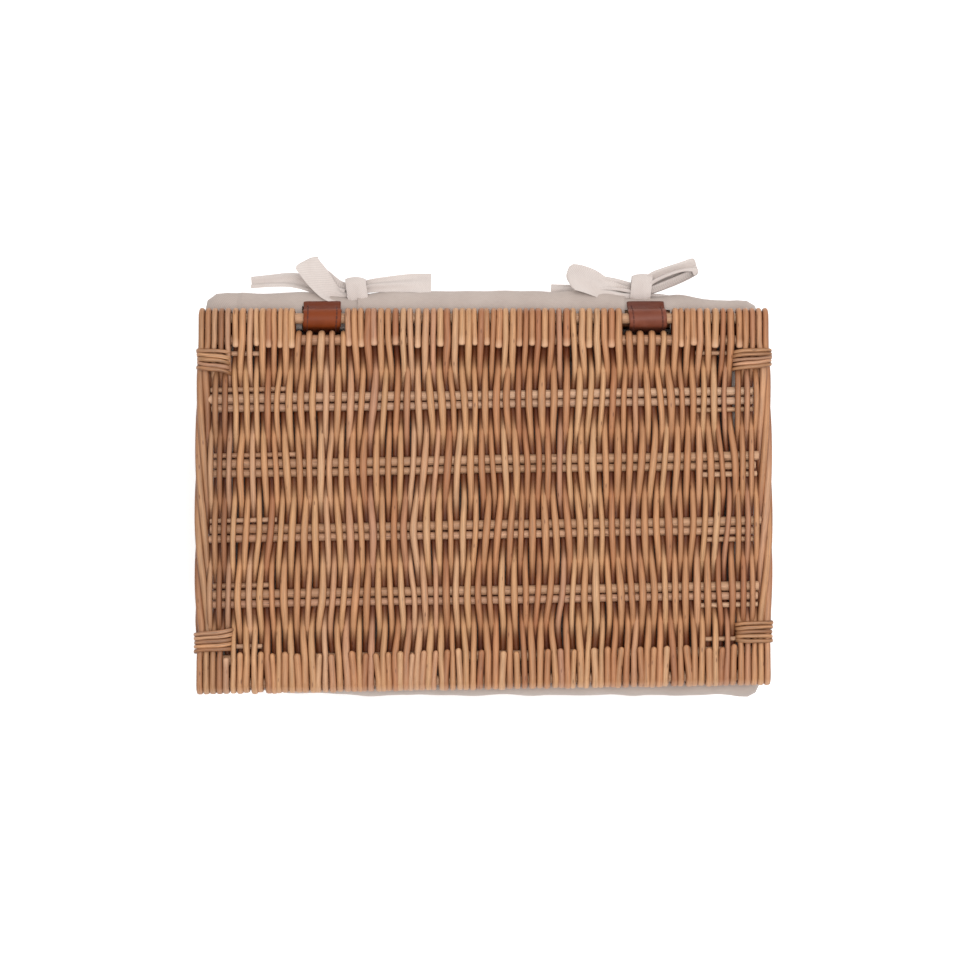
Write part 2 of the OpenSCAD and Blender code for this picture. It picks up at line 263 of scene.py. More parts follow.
# ---------------- materials
def srgb(r, g, b):
    """A colour given as it looks on screen, 0 to 255, as linear light with alpha."""
    return tuple(((c / 255 + 0.055) / 1.055) ** 2.4 if c > 10 else c / 3294.6 for c in (r, g, b)) + (1.0,)


class Nodes:
    """Short ways to add and join shader nodes."""

    def __init__(self, name):
        self.material = bpy.data.materials.new(name)
        self.material.use_nodes = True
        self.tree = self.material.node_tree
        self.shader = self.tree.nodes["Principled BSDF"]

    def node(self, kind, **values):
        made = self.tree.nodes.new(kind)
        for key, value in values.items():
            if key in made.inputs:
                self.feed(value, made.inputs[key])
            else:
                setattr(made, key, value)
        return made

    def feed(self, value, socket):
        if hasattr(value, "links"):
            self.tree.links.new(value, socket)
        else:
            socket.default_value = value

    def attribute(self, name):
        return self.node("ShaderNodeAttribute", attribute_name=name)

    def pair(self, made, a, b, first=0):
        """Feeds two inputs that have no names of their own."""
        self.feed(a, made.inputs[first])
        self.feed(b, made.inputs[first + 1])
        return made

    def math(self, operation, a, b=0.0, clamp=False):
        return self.pair(self.node("ShaderNodeMath", operation=operation, use_clamp=clamp), a, b).outputs[0]

    def scale(self, vector, factors):
        return self.pair(self.node("ShaderNodeVectorMath", operation="MULTIPLY"), vector, factors).outputs[0]

    def noise(self, vector, scale, detail=2.0, roughness=0.5):
        made = self.node("ShaderNodeTexNoise", Vector=vector, Scale=scale, Detail=detail, Roughness=roughness)
        return made.outputs["Fac"]

    def ramp(self, value, stops):
        """A colour ramp with (position, colour) stops."""
        made = self.node("ShaderNodeValToRGB", Fac=value)
        made.color_ramp.elements.remove(made.color_ramp.elements[1])
        made.color_ramp.elements[0].position, made.color_ramp.elements[0].color = stops[0]
        for position, colour in stops[1:]:
            made.color_ramp.elements.new(position).color = colour
        return made.outputs["Color"]

    def between(self, value, low, high, out_low, out_high):
        """Moves a value from one range to another."""
        made = self.node("ShaderNodeMapRange", Value=value)
        for name, limit in zip(("From Min", "From Max", "To Min", "To Max"), (low, high, out_low, out_high)):
            made.inputs[name].default_value = limit
        return made.outputs["Result"]

    def mix(self, kind, fac, a, b):
        made = self.node("ShaderNodeMix", data_type="RGBA", blend_type=kind)
        self.feed(fac, made.inputs[0])
        return self.pair(made, a, b, 6).outputs[2]

    def grey(self, value):
        return self.node("ShaderNodeCombineColor", Red=value, Green=value, Blue=value).outputs["Color"]

    def surface(self, **values):
        """Feeds the shader's inputs, named with _ for each space, and gives the finished material."""
        for name, value in values.items():
            self.feed(value, self.shader.inputs[name.replace("_", " ")])
        return self.material

    def bump(self, height, distance, strength):
        made = self.node("ShaderNodeBump", Height=height, Distance=distance, Strength=strength)
        return made.outputs["Normal"]


SHADED = (0.34, 0.118, 0.012, 1.0)  # what is left of a colour deep in the weave
RUDDY = (1.0, 0.80, 0.72, 1.0)
PALE_ROD = srgb(192, 150, 124)
KNOT_BROWN = srgb(96, 52, 32)
SPECK_BROWN = srgb(112, 66, 40)
# pale wood on cut ends, partly a painted highlight, and the painted highlight along creases
PALE_WOOD_AND_HIGHLIGHT = srgb(214, 172, 140)


def willow(name, stops, roughness=0.5, contrast=1.0):
    """Peeled willow: tone by rod, streaks along the grain, small knots and a dry sheen. Shade is painted in
    where a rod is closed in, its cut ends are paler, partly a painted highlight, and its creases get a painted
    highlight.
    """
    m = Nodes(name)
    tone = m.attribute("tone")
    parts = m.node("ShaderNodeSeparateColor", Color=tone.outputs["Color"])
    grain = m.attribute("grain").outputs["Vector"]
    drift = m.noise(m.scale(grain, (0.012, 0.02, 0.02)), 1.0, 2.0)
    place = m.math("ADD", parts.outputs["Red"], m.between(drift, 0.3, 0.7, -0.22, 0.22), clamp=True)
    colour = m.ramp(place, stops)
    redness = m.between(parts.outputs["Green"], 0.72, 1.0, 0.0, 0.42)
    colour = m.mix("MULTIPLY", redness, colour, RUDDY)
    paleness = m.between(parts.outputs["Blue"], 0.7, 1.0, 0.0, 0.4)
    colour = m.mix("MIX", paleness, colour, PALE_ROD)
    streak = m.noise(m.scale(grain, (0.055, 1.5, 1.5)), 1.0, 4.0, 0.6)
    shade = m.grey(m.between(streak, 0.34, 0.66, 1.0 - 0.3 * contrast, 1.0 + 0.18 * contrast))
    colour = m.mix("MULTIPLY", 1.0, colour, shade)
    spots = m.node("ShaderNodeTexVoronoi", Vector=m.scale(grain, (0.055, 0.20, 0.20)), Scale=1.0)
    knot = m.between(spots.outputs["Distance"], 0.06, 0.14, 0.85, 0.0)
    colour = m.mix("MIX", m.math("MULTIPLY", knot, 0.8, clamp=True), colour, KNOT_BROWN)
    specks = m.noise(m.scale(grain, (0.8, 1.6, 1.6)), 1.0, 3.0, 0.7)
    colour = m.mix("MIX", m.between(specks, 0.62, 0.70, 0.0, 0.6), colour, SPECK_BROWN)
    # painted shade: the less open a point is to the light, the more its colour goes towards SHADED
    dim = m.between(m.attribute("open").outputs["Fac"], 0.2, 1.0, 1.0, 0.0)
    colour = m.mix("MULTIPLY", dim, colour, SHADED)
    # pale cut ends, partly a painted highlight, and a painted highlight along creases
    colour = m.mix("MIX", m.math("MULTIPLY", tone.outputs["Alpha"], 0.45), colour, PALE_WOOD_AND_HIGHLIGHT)
    sheen = m.between(streak, 0.3, 0.7, roughness - 0.07, roughness + 0.1)
    fine = m.math("ADD", streak, m.math("MULTIPLY", specks, 0.5))
    bump = m.bump(fine, 0.00035, 0.55)
    return m.surface(Base_Color=colour, Roughness=sheen, Specular_IOR_Level=0.42, Normal=bump)


def even_stops(*colours):
    """Stops for a colour ramp, evenly spaced."""
    return [(i / (len(colours) - 1), srgb(*colour)) for i, colour in enumerate(colours)]


WEAVER_STOPS = even_stops((158, 104, 69), (172, 121, 82), (182, 133, 93), (187, 141, 99), (192, 149, 110))
STICK_STOPS = even_stops((180, 136, 102), (194, 151, 117), (206, 166, 134))
TIE_STOPS = even_stops((146, 100, 66), (170, 124, 86), (190, 146, 106))
# painted shade: a darker copy of the willow, for the rods at the lid's left end
LEFT_END_SHADE_STOPS = even_stops((140, 95, 63), (163, 118, 82), (177, 135, 98))
weaver_willow = willow("willow_weaver", WEAVER_STOPS)
stick_willow = willow("willow_stick", STICK_STOPS, roughness=0.55)
tie_willow = willow("willow_tie", TIE_STOPS, roughness=0.42, contrast=1.7)
shaded_end_willow = willow("willow_end_shaded", LEFT_END_SHADE_STOPS)

# ---------------- lid: the weavers
ROWS = 88
ROWS_A_BLOCK = 8
LID_GROUPS = 6
ROW_PITCH = 2 * WEAVE_X / ROWS
ROD_T = 2.1
CROSS_W = 2.2
SPAN_STEPS = 12
TURN_STEPS = 9
RUN_STEPS = 4
PLACES = 11
TUCKED = (6.0, 12.0)  # how far a rod that stops under a border runs on past the inner stick
DIP = 5.2
BORDER_LIGHT = 0.92
KEPT_FRONT = [7, 7, 7, 6, 7, 6, 6, 7, 6, 6, 7]
KEPT_BACK = [5] * 11
STATION_Y = [-INNER_Y, *PAIR_Y, INNER_Y]
EDGE_RISE = EDGE_R + ROD_T
PAIR_RISE = (PAIR_R + ROD_T) * 1.035
LOW_LIGHT = 0.3
EVEN_STEPS = 60
HOME_PULL = 0.12


def woven_light(z):
    """How open a weaver is at a height over the middle of the lid: full until it dips under the sticks."""
    return LOW_LIGHT + (1 - LOW_LIGHT) * smooth_step(np.clip((z + DIP) / DIP, 0, 1))


def woven_lights(path):
    """How open a weaver is on top and underneath."""
    return woven_light(path[:, 2]), woven_light(-path[:, 2])


def rise(station):
    return EDGE_RISE if station in (0, len(STATION_Y) - 1) else PAIR_RISE


def woven_run(xs, over, w):
    """The part of a weaver between the inner sticks: its points and half widths. xs are its places across the
    lid at each stick and halfway between, and over says if it passes above the first stick."""
    line = smooth_line(np.column_stack([xs, np.zeros(len(xs))]), SPAN_STEPS // 2)[:, 0]
    points, widths = [], []
    for j in range(len(STATION_Y) - 1):
        t = np.arange(SPAN_STEPS) / SPAN_STEPS
        z0 = rise(j) * (1 if (j % 2 == 0) == over else -1)
        z1 = rise(j + 1) * (-1 if (j % 2 == 0) == over else 1)
        y = STATION_Y[j] + (STATION_Y[j + 1] - STATION_Y[j]) * t
        z = z0 + (z1 - z0) * (1 - np.cos(math.pi * t)) / 2
        points.append(np.column_stack([line[j * SPAN_STEPS:(j + 1) * SPAN_STEPS], y, z]))
        widths.append(CROSS_W + (w - CROSS_W) * np.abs(np.cos(math.pi * t)) ** 0.8)
    last = rise(len(STATION_Y) - 1) * (1 if ((len(STATION_Y) - 1) % 2 == 0) == over else -1)
    points.append([[line[-1], STATION_Y[-1], last]])
    widths.append([w])
    return np.vstack(points), np.concatenate(widths)


def turn(centre_y, x, above, out, tail, run=0.0, tuck=0.0, lean=0.0):
    """The end of a weaver past a stick station: out over or under the border to the stick at centre_y, round
    it, and back along the other side for tail. out is 1 at the back and -1 at the front."""
    z = EDGE_RISE * (1 if above else -1)
    points = []
    if run:
        for t in np.arange(1, RUN_STEPS + 1) / RUN_STEPS:
            points.append([x + lean * t, centre_y - out * run * (1 - t), z])
    for a in np.arange(1, TURN_STEPS) / TURN_STEPS * math.pi:
        points.append([x + lean, centre_y + out * EDGE_RISE * math.sin(a), z * math.cos(a)])
    steps = max(2, int(tail / 5))
    for t in np.arange(steps + 1) / steps:
        points.append([x + lean * (1 - 1.6 * t), centre_y - out * tail * t, -z - tuck * t**3])
    return points


def fold(path, widths):
    """Where a rod is creased over the lid's edge it changes width and gets a painted highlight: its half
    widths and how much highlight is painted on."""
    y, z = path[:, 1], path[:, 2]
    past = np.clip((np.abs(y) - EDGE_Y - 0.45 * EDGE_RISE) / (0.4 * EDGE_RISE), 0, 1)
    border = np.clip((-y - INNER_Y) / (EDGE_Y - INNER_Y), 0, 1)
    spread = (1 + 0.06 * border) * np.where(y < 0, 1 + 0.02 * past, 1 - 0.06 * past)
    return widths * spread, past**1.5 * np.where(y < 0, 0.35, 0.15)


def in_gap(x):
    return abs(abs(x) - HINGE_X) < GAP_HALF


def some_tails(rng, kept):
    """Which rods reach round a border even if they pass under it: so many of each block, at random."""
    chosen = np.zeros(ROWS, bool)
    for block, count in zip(np.array_split(np.arange(ROWS), len(kept)), kept):
        chosen[block] = True
        for part in np.array_split(block, ROWS_A_BLOCK - count):
            chosen[rng.choice(part)] = False
    return chosen


def border_places(rows, kept, low, high):
    """Places along a border for the rods between low and high: those kept there are pushed apart until their
    spacing is even nearby, and one that stops short lies halfway between its neighbours."""
    inside = [i for i in range(ROWS) if low < rows[i] < high]
    order = [i for i in inside if kept[i]]
    home = rows[order]
    at = home.copy()
    for _ in range(EVEN_STEPS):
        padded = np.concatenate([[2 * low - at[0]], at, [2 * high - at[-1]]])
        at = (1 - HOME_PULL) * (padded[:-2] + padded[2:]) / 2 + HOME_PULL * home
    return {i: float(np.interp(i, order, at)) for i in inside}


def sway(row, station):
    """Neighbouring weavers lean together, this way and that along the lid."""
    return 1.4 * np.sin(row / 6.3 + 0.9 * station + 2.1) + 0.9 * np.sin(row / 3.1 - 1.4 * station)


def lid_weavers():
    rng = np.random.default_rng(41)
    rows = -WEAVE_X + (np.arange(ROWS) + 0.5) * ROW_PITCH + rng.normal(0, 0.3, ROWS)
    over_front = np.arange(ROWS) % 2 == 0
    front_tail = some_tails(rng, KEPT_FRONT)
    back_tail = some_tails(rng, KEPT_BACK)
    front_x = border_places(rows, over_front | front_tail, -WEAVE_X, WEAVE_X)
    back_x = {}
    for low, high in ((-WEAVE_X, -HINGE_X - GAP_HALF), (-HINGE_X + GAP_HALF, HINGE_X - GAP_HALF),
                      (HINGE_X + GAP_HALF, WEAVE_X)):
        back_x.update(border_places(rows, ~over_front | back_tail, low, high))
    gathered = [Rods(100 + g) for g in range(LID_GROUPS)]
    for i in range(ROWS):
        w = rng.choice([rng.uniform(2.1, 2.5), rng.uniform(2.6, 3.2)], p=[0.3, 0.7])
        over = bool(over_front[i])
        fx, bx = front_x.get(i, rows[i]), back_x.get(i, rows[i])
        at = np.arange(PLACES)
        home = np.interp(at, [0, 2, PLACES - 3, PLACES - 1], [fx, rows[i], rows[i], bx])
        xs = home + sway(i, at) + rng.normal(0, 0.32, PLACES)
        xs[0], xs[-1] = fx, bx
        body, widths = woven_run(xs, over, w)
        border_w = float(np.clip(w, 2.35, 2.65))
        front = front_end(over, fx, bool(front_tail[i]), rng)
        back = back_end(rows[i], over, bx, bool(back_tail[i]), rng)
        path = np.vstack([np.array(front).reshape(-1, 3)[::-1], body, np.array(back).reshape(-1, 3)])
        widths = np.concatenate([np.full(len(front), border_w), widths, np.full(len(back), border_w)])
        ease = np.convolve(np.pad(widths, 2, mode="edge"), np.ones(5) / 5, mode="valid")
        taper = np.linspace(*((1.06, 0.94) if rng.random() < 0.5 else (0.94, 1.06)), len(path))
        light, below = woven_lights(path)
        light = light * np.where(path[:, 1] < -INNER_Y, BORDER_LIGHT, 1.0)
        ends = ("cut" if over else "round", "dome" if over else "cut")
        thick = ROD_T * (0.96 + 0.04 * taper)
        lay(gathered[i * LID_GROUPS // ROWS], path, ease * taper, thick, ends, light, below)
    return gathered


def lay(rods, path, widths, thick, ends, light, below):
    """Adds a rod given about the middle of the lid's thickness, creased and given a painted highlight where it
    folds over the edge.
    """
    widths, worn = fold(path, widths)
    path[:, 2] += LID_Z
    rods.add(path, widths, thick, ACROSS, 10, ends, light=light, below=below, worn=worn)


def tucked(x, end):
    """The end of a rod that stops under the border, at the back for 1 and at the front for -1."""
    return [[x, end * (INNER_Y + reach), -EDGE_RISE] for reach in TUCKED]


def front_end(over, x, has_tail, rng):
    """Past the front inner stick, over rods run out on top and turn under. Others turn up, or stop below."""
    run = FRONT_Y - INNER_Y
    if over or has_tail:
        edge = FRONT_Y + rng.normal(0, 0.25)
        tail, tuck = run + rng.uniform(1.0, 4.5), 0.0 if over else -2.2
        return turn(-edge, x, over, -1, tail, run, tuck, rng.normal(0, 0.7))
    return tucked(x, -1)


def back_end(row, over, x, has_tail, rng):
    """Past the back inner stick. over is at the front, so at the back it is the other way about."""
    above = not over
    run = EDGE_Y - INNER_Y
    if in_gap(row):
        if above:
            return turn(INNER_Y - 0.7, x, True, 1, rng.uniform(5, 9))
        return [[x, INNER_Y + 3.0, -EDGE_RISE]]
    if above or has_tail:
        return turn(EDGE_Y, x, above, 1, run + rng.uniform(2.6, 5.2), run, lean=rng.normal(0, 0.4))
    return tucked(x, 1)


BUNDLE_LOW, BUNDLE_HIGH = box_mm("lid_end_bundle_right")[0][0], box_mm("lid_end_bundle_right")[1][0]
END_ROWS = 5
END_PITCH = 3.6
END_R = 2.5
# where the rods that show on a border lie across the bundle: three of the closer rows, two of the rope
END_PLACES = [BUNDLE_LOW + f * (BUNDLE_HIGH - BUNDLE_LOW) for f in (0.13, 0.335, 0.545)]
ROPE_PLACES = [BUNDLE_LOW + f * (BUNDLE_HIGH - BUNDLE_LOW) for f in (0.75, 0.955)]
ROPE_X = (ROPE_PLACES[0] + ROPE_PLACES[1]) / 2 + 0.2
ROPE_TURN = 215.0
ROPE_RODS = 4
ROPE_R = 3.3
ROPE_SPREAD = (92.0, 98.0)  # where its rods begin to part towards a border, and where they are told apart


def end_rows(side, rods):
    """The closer rows between the weave and the rope at each end of the lid."""
    rng = rods.rng
    run = EDGE_Y - INNER_Y
    for k in range(END_ROWS):
        x = BUNDLE_LOW + 1.9 + k * END_PITCH
        over = (k % 2 == 0) == (side > 0)
        shown = {True: [0, 2, 4], False: [0, 1, 3]}
        front_shown, back_shown = shown[(side > 0)], shown[(side < 0)]
        places = [x if k not in kept else END_PLACES[kept.index(k)] for kept in (front_shown, back_shown)]
        xs = np.full(PLACES, x) + rng.normal(0, 0.15, PLACES)
        xs[0], xs[1], xs[-2], xs[-1] = places[0], (places[0] + x) / 2, (places[1] + x) / 2, places[1]
        body, widths = woven_run(side * xs, over, rng.uniform(2.2, 2.45))
        front_x, back_x = side * places[0], side * places[1]
        front, back = tucked(front_x, -1), tucked(back_x, 1)
        if k in front_shown:
            front = turn(-FRONT_Y, front_x, over, -1, run + rng.uniform(1, 4), run + FRONT_Y - EDGE_Y)
        if k in back_shown:
            back = turn(EDGE_Y, back_x, not over, 1, run + rng.uniform(3, 6), run)
        path = np.vstack([np.array(front)[::-1], body, np.array(back)])
        back_r = rng.uniform(2.4, 2.7)
        widths = np.concatenate([np.full(len(front), END_R), widths, np.full(len(back), back_r)])
        lay(rods, path, widths, ROD_T, ("dome", "dome"), *woven_lights(path))


def rope(side, rods):
    """Rods laid round each other along the very end of the lid. At the borders two of them show."""
    rng = rods.rng
    run = EDGE_Y - INNER_Y
    y = np.linspace(-INNER_Y, INNER_Y, 73)
    start = rng.uniform(0, FULL_TURN)
    phases = [start + 2 * math.pi * (k / ROPE_RODS + y / ROPE_TURN) + 0.2 * np.sin(y / 31 + k)
              for k in range(ROPE_RODS)]
    bulge = 1.6 * (1 - (y / INNER_Y) ** 2)
    xs = [ROPE_X + bulge + ROPE_R * np.sin(p) for p in phases]
    zs = [ROPE_R * np.cos(p) for p in phases]
    blend = smooth_step(np.clip((np.abs(y) - ROPE_SPREAD[0]) / (INNER_Y - ROPE_SPREAD[0]), 0, 1))
    ends = {}
    for end in (-1, 1):
        at = int(np.argmin(np.abs(y - end * ROPE_SPREAD[1])))
        by_height = sorted(range(ROPE_RODS), key=lambda k: zs[k][at])
        share = blend * (np.sign(y) == end)
        for level, group in ((-1, by_height[:2]), (1, by_height[2:])):
            for place, k in zip(ROPE_PLACES, sorted(group, key=lambda k: xs[k][at])):
                xs[k] = xs[k] * (1 - share) + place * share
                zs[k] = zs[k] * (1 - share) + EDGE_RISE * level * share
                ends[k, end] = tucked(side * place, end)
                if level > 0:
                    edge = FRONT_Y if end < 0 else EDGE_Y
                    ends[k, end] = turn(end * edge, side * place, True, end, run + 4, edge - INNER_Y)
    for k in range(ROPE_RODS):
        middle = np.column_stack([side * xs[k], y, zs[k]])
        path = np.vstack([np.array(ends[k, -1])[::-1], middle, np.array(ends[k, 1])])
        light, below = (np.clip(0.75 + sign * path[:, 2] / 10, 0.5, 1) for sign in (1, -1))
        thicker = np.interp(np.abs(path[:, 1]), (INNER_Y - 30, INNER_Y), (2.85, 2.4))
        lay(rods, path, thicker, 2.2, ("dome", "dome"), light, below)


LID_NODES = ["lid_weave", "lid_border_front", "lid_gap_turns_left", "lid_gap_turns_right",
             "lid_border_back_left", "lid_border_back_middle", "lid_border_back_right"]
for number, rods in enumerate(lid_weavers(), 1):
    rods.piece(f"lid_weavers_{number}", weaver_willow, "lid", "willow_weave", LID_NODES)

for name, side in (("left", -1), ("right", 1)):
    rods = Rods(140 + side)
    end_rows(side, rods)
    rope(side, rods)
    # the left end's rods get the darker copy of the willow, as painted shade
    material = shaded_end_willow if side < 0 else weaver_willow
    rods.piece(f"lid_end_rods_{name}", material, "lid", "willow_weave", [f"lid_end_bundle_{name}"])

# ---------------- lid: the bindings at its corners
TIE_BANDS = 5
BAND_HALF = 1.65
BAND_T = 1.05
TIE_HALF_X = (LID_X - TIE_IN) / 2 + 0.4
TIE_HALF_Z = half_mm("lid_tie_back_right")[2] + 0.3
TIE_UNDER = 1.6  # flatter underneath, where it lies on the lining
TIES = {  # side, place along Y, slant, how its turns fan out, and how much shorter it is
    "back_left": (-1, TIE_Y + 2.0, -1.6, 0.35, 2.0), "front_left": (-1, -TIE_Y - 3.0, 1.3, 0.2, 0.0),
    "back_right": (1, TIE_Y + 1.6, 1.5, -0.3, 0.0), "front_right": (1, -TIE_Y - 2.8, 0.2, 0.25, 0.8)}


def tie_loops(name):
    """A flat binding wound round the end rods: each turn is a flattened loop, slanting and out of line."""
    side, y, slant, fan, shorter = TIES[name]
    rods = Rods(160 + len(name) + side)
    rng = rods.rng
    angle = np.arange(64) / 64 * 2 * math.pi
    c, z = np.cos(angle), np.sin(angle)
    middle_x = side * ((LID_X + TIE_IN) / 2 + 0.9 + shorter / 2)
    for k in range(TIE_BANDS):
        place = k - (TIE_BANDS - 1) / 2
        swell = 0.35 * rng.random() + (0.7 if k == 0 else 0.0)
        lift = swell * np.exp(-((c - rng.uniform(-0.3, 0.3)) / 0.5) ** 2)
        x = middle_x + (TIE_HALF_X - shorter + rng.uniform(-0.5, 0.5)) * np.sign(c) * np.abs(c) ** 0.6
        height = np.where(z > 0, TIE_HALF_Z + lift, TIE_HALF_Z - TIE_UNDER) * np.sign(z) * np.abs(z) ** 0.55
        drift = slant * c + fan * place * c + 0.3 * np.sin(2 * angle + rng.uniform(0, 6))
        path = np.column_stack([x, y + place * 2.05 * BAND_HALF + drift, LID_Z + height])
        half = BAND_HALF * (1 + 0.1 * np.sin(2 * angle + rng.uniform(0, 6)))
        rods.add(path, half, BAND_T, ALONG, 8, closed=True)
    return rods


for name in TIES:
    tie_loops(name).piece(f"lid_tie_{name}_loops", tie_willow, "lid", "willow_tie", [f"lid_tie_{name}"])

# ---------------- lid: its sticks
WOVEN_LIGHT = (0.76, 0.9, 1.0)  # painted shade: the sticks in the weave are darker and browner towards the left
# how much light is left on a stick's sides, as painted shade
STICK_SIDE_LIGHT = 0.94


def wavy_stick(rods, x0, x1, y, z, r, wander=0.25, woven=True):
    """A nearly straight stick along X that wanders a little. woven says that it lies in the lid's weave."""
    n = max(6, int((x1 - x0) / 9))
    x = np.linspace(x0, x1, n)
    phase = rods.rng.random(2) * FULL_TURN
    sideways, upward = wander * np.sin(x / 41 + phase[0]), 0.6 * wander * np.sin(x / 57 + phase[1])
    path = np.column_stack([x, y + sideways, z + upward])
    size = r * (1 + 0.02 * np.sin(x / 13 + phase[1]))
    light = np.interp(x, (-WEAVE_X, -0.2 * WEAVE_X, WEAVE_X), WOVEN_LIGHT) if woven else 1.0
    rods.add(path, size, size, ALONG, 12, light=light)


for name, y in (("lid_hinge_stick", EDGE_Y), ("lid_back_inner_stick", INNER_Y),
                ("lid_front_inner_stick", -INNER_Y), ("lid_front_outer_stick", -FRONT_Y)):
    rods = Rods(abs(int(y)) + (7 if y < 0 else 3), STICK_SIDE_LIGHT)
    turning = y == EDGE_Y  # in the leather loops
    wavy_stick(rods, -STICK_X, STICK_X, y, LID_Z, EDGE_R, 0.0 if turning else 0.15, not turning)
    rods.piece(name + "_rod", stick_willow, "lid", "willow_stick", [name])

for k, y in enumerate(PAIR_Y, 1):
    rods = Rods(60 + k, STICK_SIDE_LIGHT)
    for s in (-1, 1):
        x0, x1 = -STICK_X + rods.rng.uniform(0, 5), STICK_X - rods.rng.uniform(0, 5)
        wavy_stick(rods, x0, x1, y + s * (PAIR_R + 0.35), LID_Z, PAIR_R * (1.02 + 0.09 * s))
    rods.piece(f"lid_stick_pair_{k}_rods", stick_willow, "lid", "willow_stick", [f"lid_stick_pair_{k}"])

rods = Rods(71, STICK_SIDE_LIGHT)
for y in PAIR_Y:
    for s in (-1, 1):
        reach = rods.rng.uniform(42, 72) if s < 0 else rods.rng.uniform(36, 50)
        x0, x1 = sorted((s * (LID_X - 10), s * (LID_X - 10 - reach)))
        wavy_stick(rods, x0, x1, y - s * PACKING_OFF, LID_Z, PACKING_R * rods.rng.uniform(0.85, 1.0))
for sx in (-1, 1):
    for sy in (-1, 1):
        x0, x1 = sorted((sx * (WEAVE_X + 2), sx * (WEAVE_X + 2 - rods.rng.uniform(22, 34))))
        wavy_stick(rods, x0, x1, sy * (INNER_Y - EDGE_R - ROD_T - 4.2), LID_Z, 1.9)
rods.piece("lid_packing_rods", stick_willow, "lid", "willow_weave", ["lid_packing_sticks"])

# ---------------- basket: the walls, foot, rim and base
def loop_line(half_x, half_y, corner, step=6.0):
    """A rounded rectangle walked round from the middle of the back: its points and its outward directions."""
    points, normals = [], []
    for turn_number, (sx, sy) in enumerate([(-1, 1), (-1, -1), (1, -1), (1, 1)]):
        start = math.pi / 2 * (turn_number + 1)
        for a in start + np.linspace(0, math.pi / 2, 7):
            normal = np.array([math.cos(a), math.sin(a)])
            points.append(np.array([sx * (half_x - corner), sy * (half_y - corner)]) + corner * normal)
            normals.append(normal)
    points.append(points[0])
    normals.append(normals[0])
    line, out = [], []
    for a, b, na, nb in zip(points, points[1:], normals, normals[1:]):
        n = max(1, int(round(np.linalg.norm(b - a) / step)))
        t = np.arange(n)[:, None] / n
        line.append(a + (b - a) * t)
        out.append(na + (nb - na) * t)
    return np.vstack(line), unit(np.vstack(out))


STAKE_PITCH = 43.0
LONG_STAKES, SHORT_STAKES = 8, 6
WALL_GROUPS = 3
WALL_RODS = 4  # how many rods make one row of the wall
OVERLAP = 3
STAKE_OFF = 3.1
ROW_HALF = 2.3
ROW_T = 2.0
ROW_STEP = 4.62
ROWS_TOP = WALL_TOP - 6.5
UP = np.array([0.0, 0.0, 1.0])


def wall_stations():
    """The upright sticks in order round the walls: where each is, which way is out, and its radius."""
    long_places, short_places = (
        (np.arange(count) - (count - 1) / 2) * STAKE_PITCH for count in (LONG_STAKES, SHORT_STAKES))
    corner = math.sqrt(0.5)
    stations = [((x, POST_Y), (0, 1), STAKE_R) for x in long_places[::-1]]
    stations += [((-POST_X, POST_Y), (-corner, corner), POST_R)]
    stations += [((-POST_X, y), (-1, 0), STAKE_R) for y in short_places[::-1]]
    stations += [((-POST_X, -POST_Y), (-corner, -corner), POST_R)]
    stations += [((x, -POST_Y), (0, -1), STAKE_R) for x in long_places]
    stations += [((POST_X, -POST_Y), (corner, -corner), POST_R)]
    stations += [((POST_X, y), (1, 0), STAKE_R) for y in short_places]
    return stations + [((POST_X, POST_Y), (corner, corner), POST_R)]


def wall_row(stations, first, rng):
    """One row of the wall: a closed line in and out of the uprights, and how far out it is at each point."""
    knots, outs = [], []
    for k, (place, out, r) in enumerate(stations):
        sign = 1 if (k % 2 == 0) == first else -1
        far = sign * (r + ROW_T) * rng.uniform(0.97, 1.05)
        place, out = np.array(place), np.array(out)
        if r == POST_R and sign > 0:
            for a in (-0.9, 0, 0.9):
                c, s = math.cos(a), math.sin(a)
                knots.append(place + np.array([out[0] * c - out[1] * s, out[0] * s + out[1] * c]) * far)
                outs.append(far)
        else:
            knots.append(place + out * far)
            outs.append(far)
        knots.append((place + np.array(stations[(k + 1) % len(stations)][0])) / 2)
        outs.append(0.0)
    line = smooth_line(np.column_stack([np.vstack([knots, knots[:1]]), outs + outs[:1]]), 4)[:-1]
    return line[:, :2], line[:, 2]


def walls():
    rng = np.random.default_rng(211)
    stations = wall_stations()
    count = int((ROWS_TOP - WALL_LOW) / ROW_STEP)
    gathered = [Rods(220 + g) for g in range(WALL_GROUPS)]
    for i in range(count):
        line, out = wall_row(stations, i % 2 == 0, rng)
        z = WALL_LOW + (i + 0.5) * ROW_STEP + 0.25 * np.sin(np.arange(len(line)) / 17 + rng.uniform(0, 6))
        path = np.column_stack([line, z])
        inside = np.flatnonzero((out < np.roll(out, 1)) & (out < np.roll(out, -1)))
        cuts = sorted(rng.choice(inside, WALL_RODS, replace=False))
        path, out = np.roll(path, -cuts[0], 0), np.roll(out, -cuts[0])
        bounds = [c - cuts[0] for c in cuts] + [len(path)]
        path, out = np.vstack([path, path[:OVERLAP]]), np.concatenate([out, out[:OVERLAP]])
        for a, b in zip(bounds, bounds[1:]):
            b += OVERLAP
            light = np.clip(0.62 + out[a:b] / 11, 0.3, 1)
            height = ROW_HALF * np.linspace(1.03, 0.95, len(light))
            gathered[i * WALL_GROUPS // count].add(path[a:b], height, ROW_T, UP, light=light)
    return gathered


for number, rods in enumerate(walls(), 1):
    rods.piece(f"wall_weavers_{number}", weaver_willow, "basket", "willow_weave", on_sides("wall_weave"))

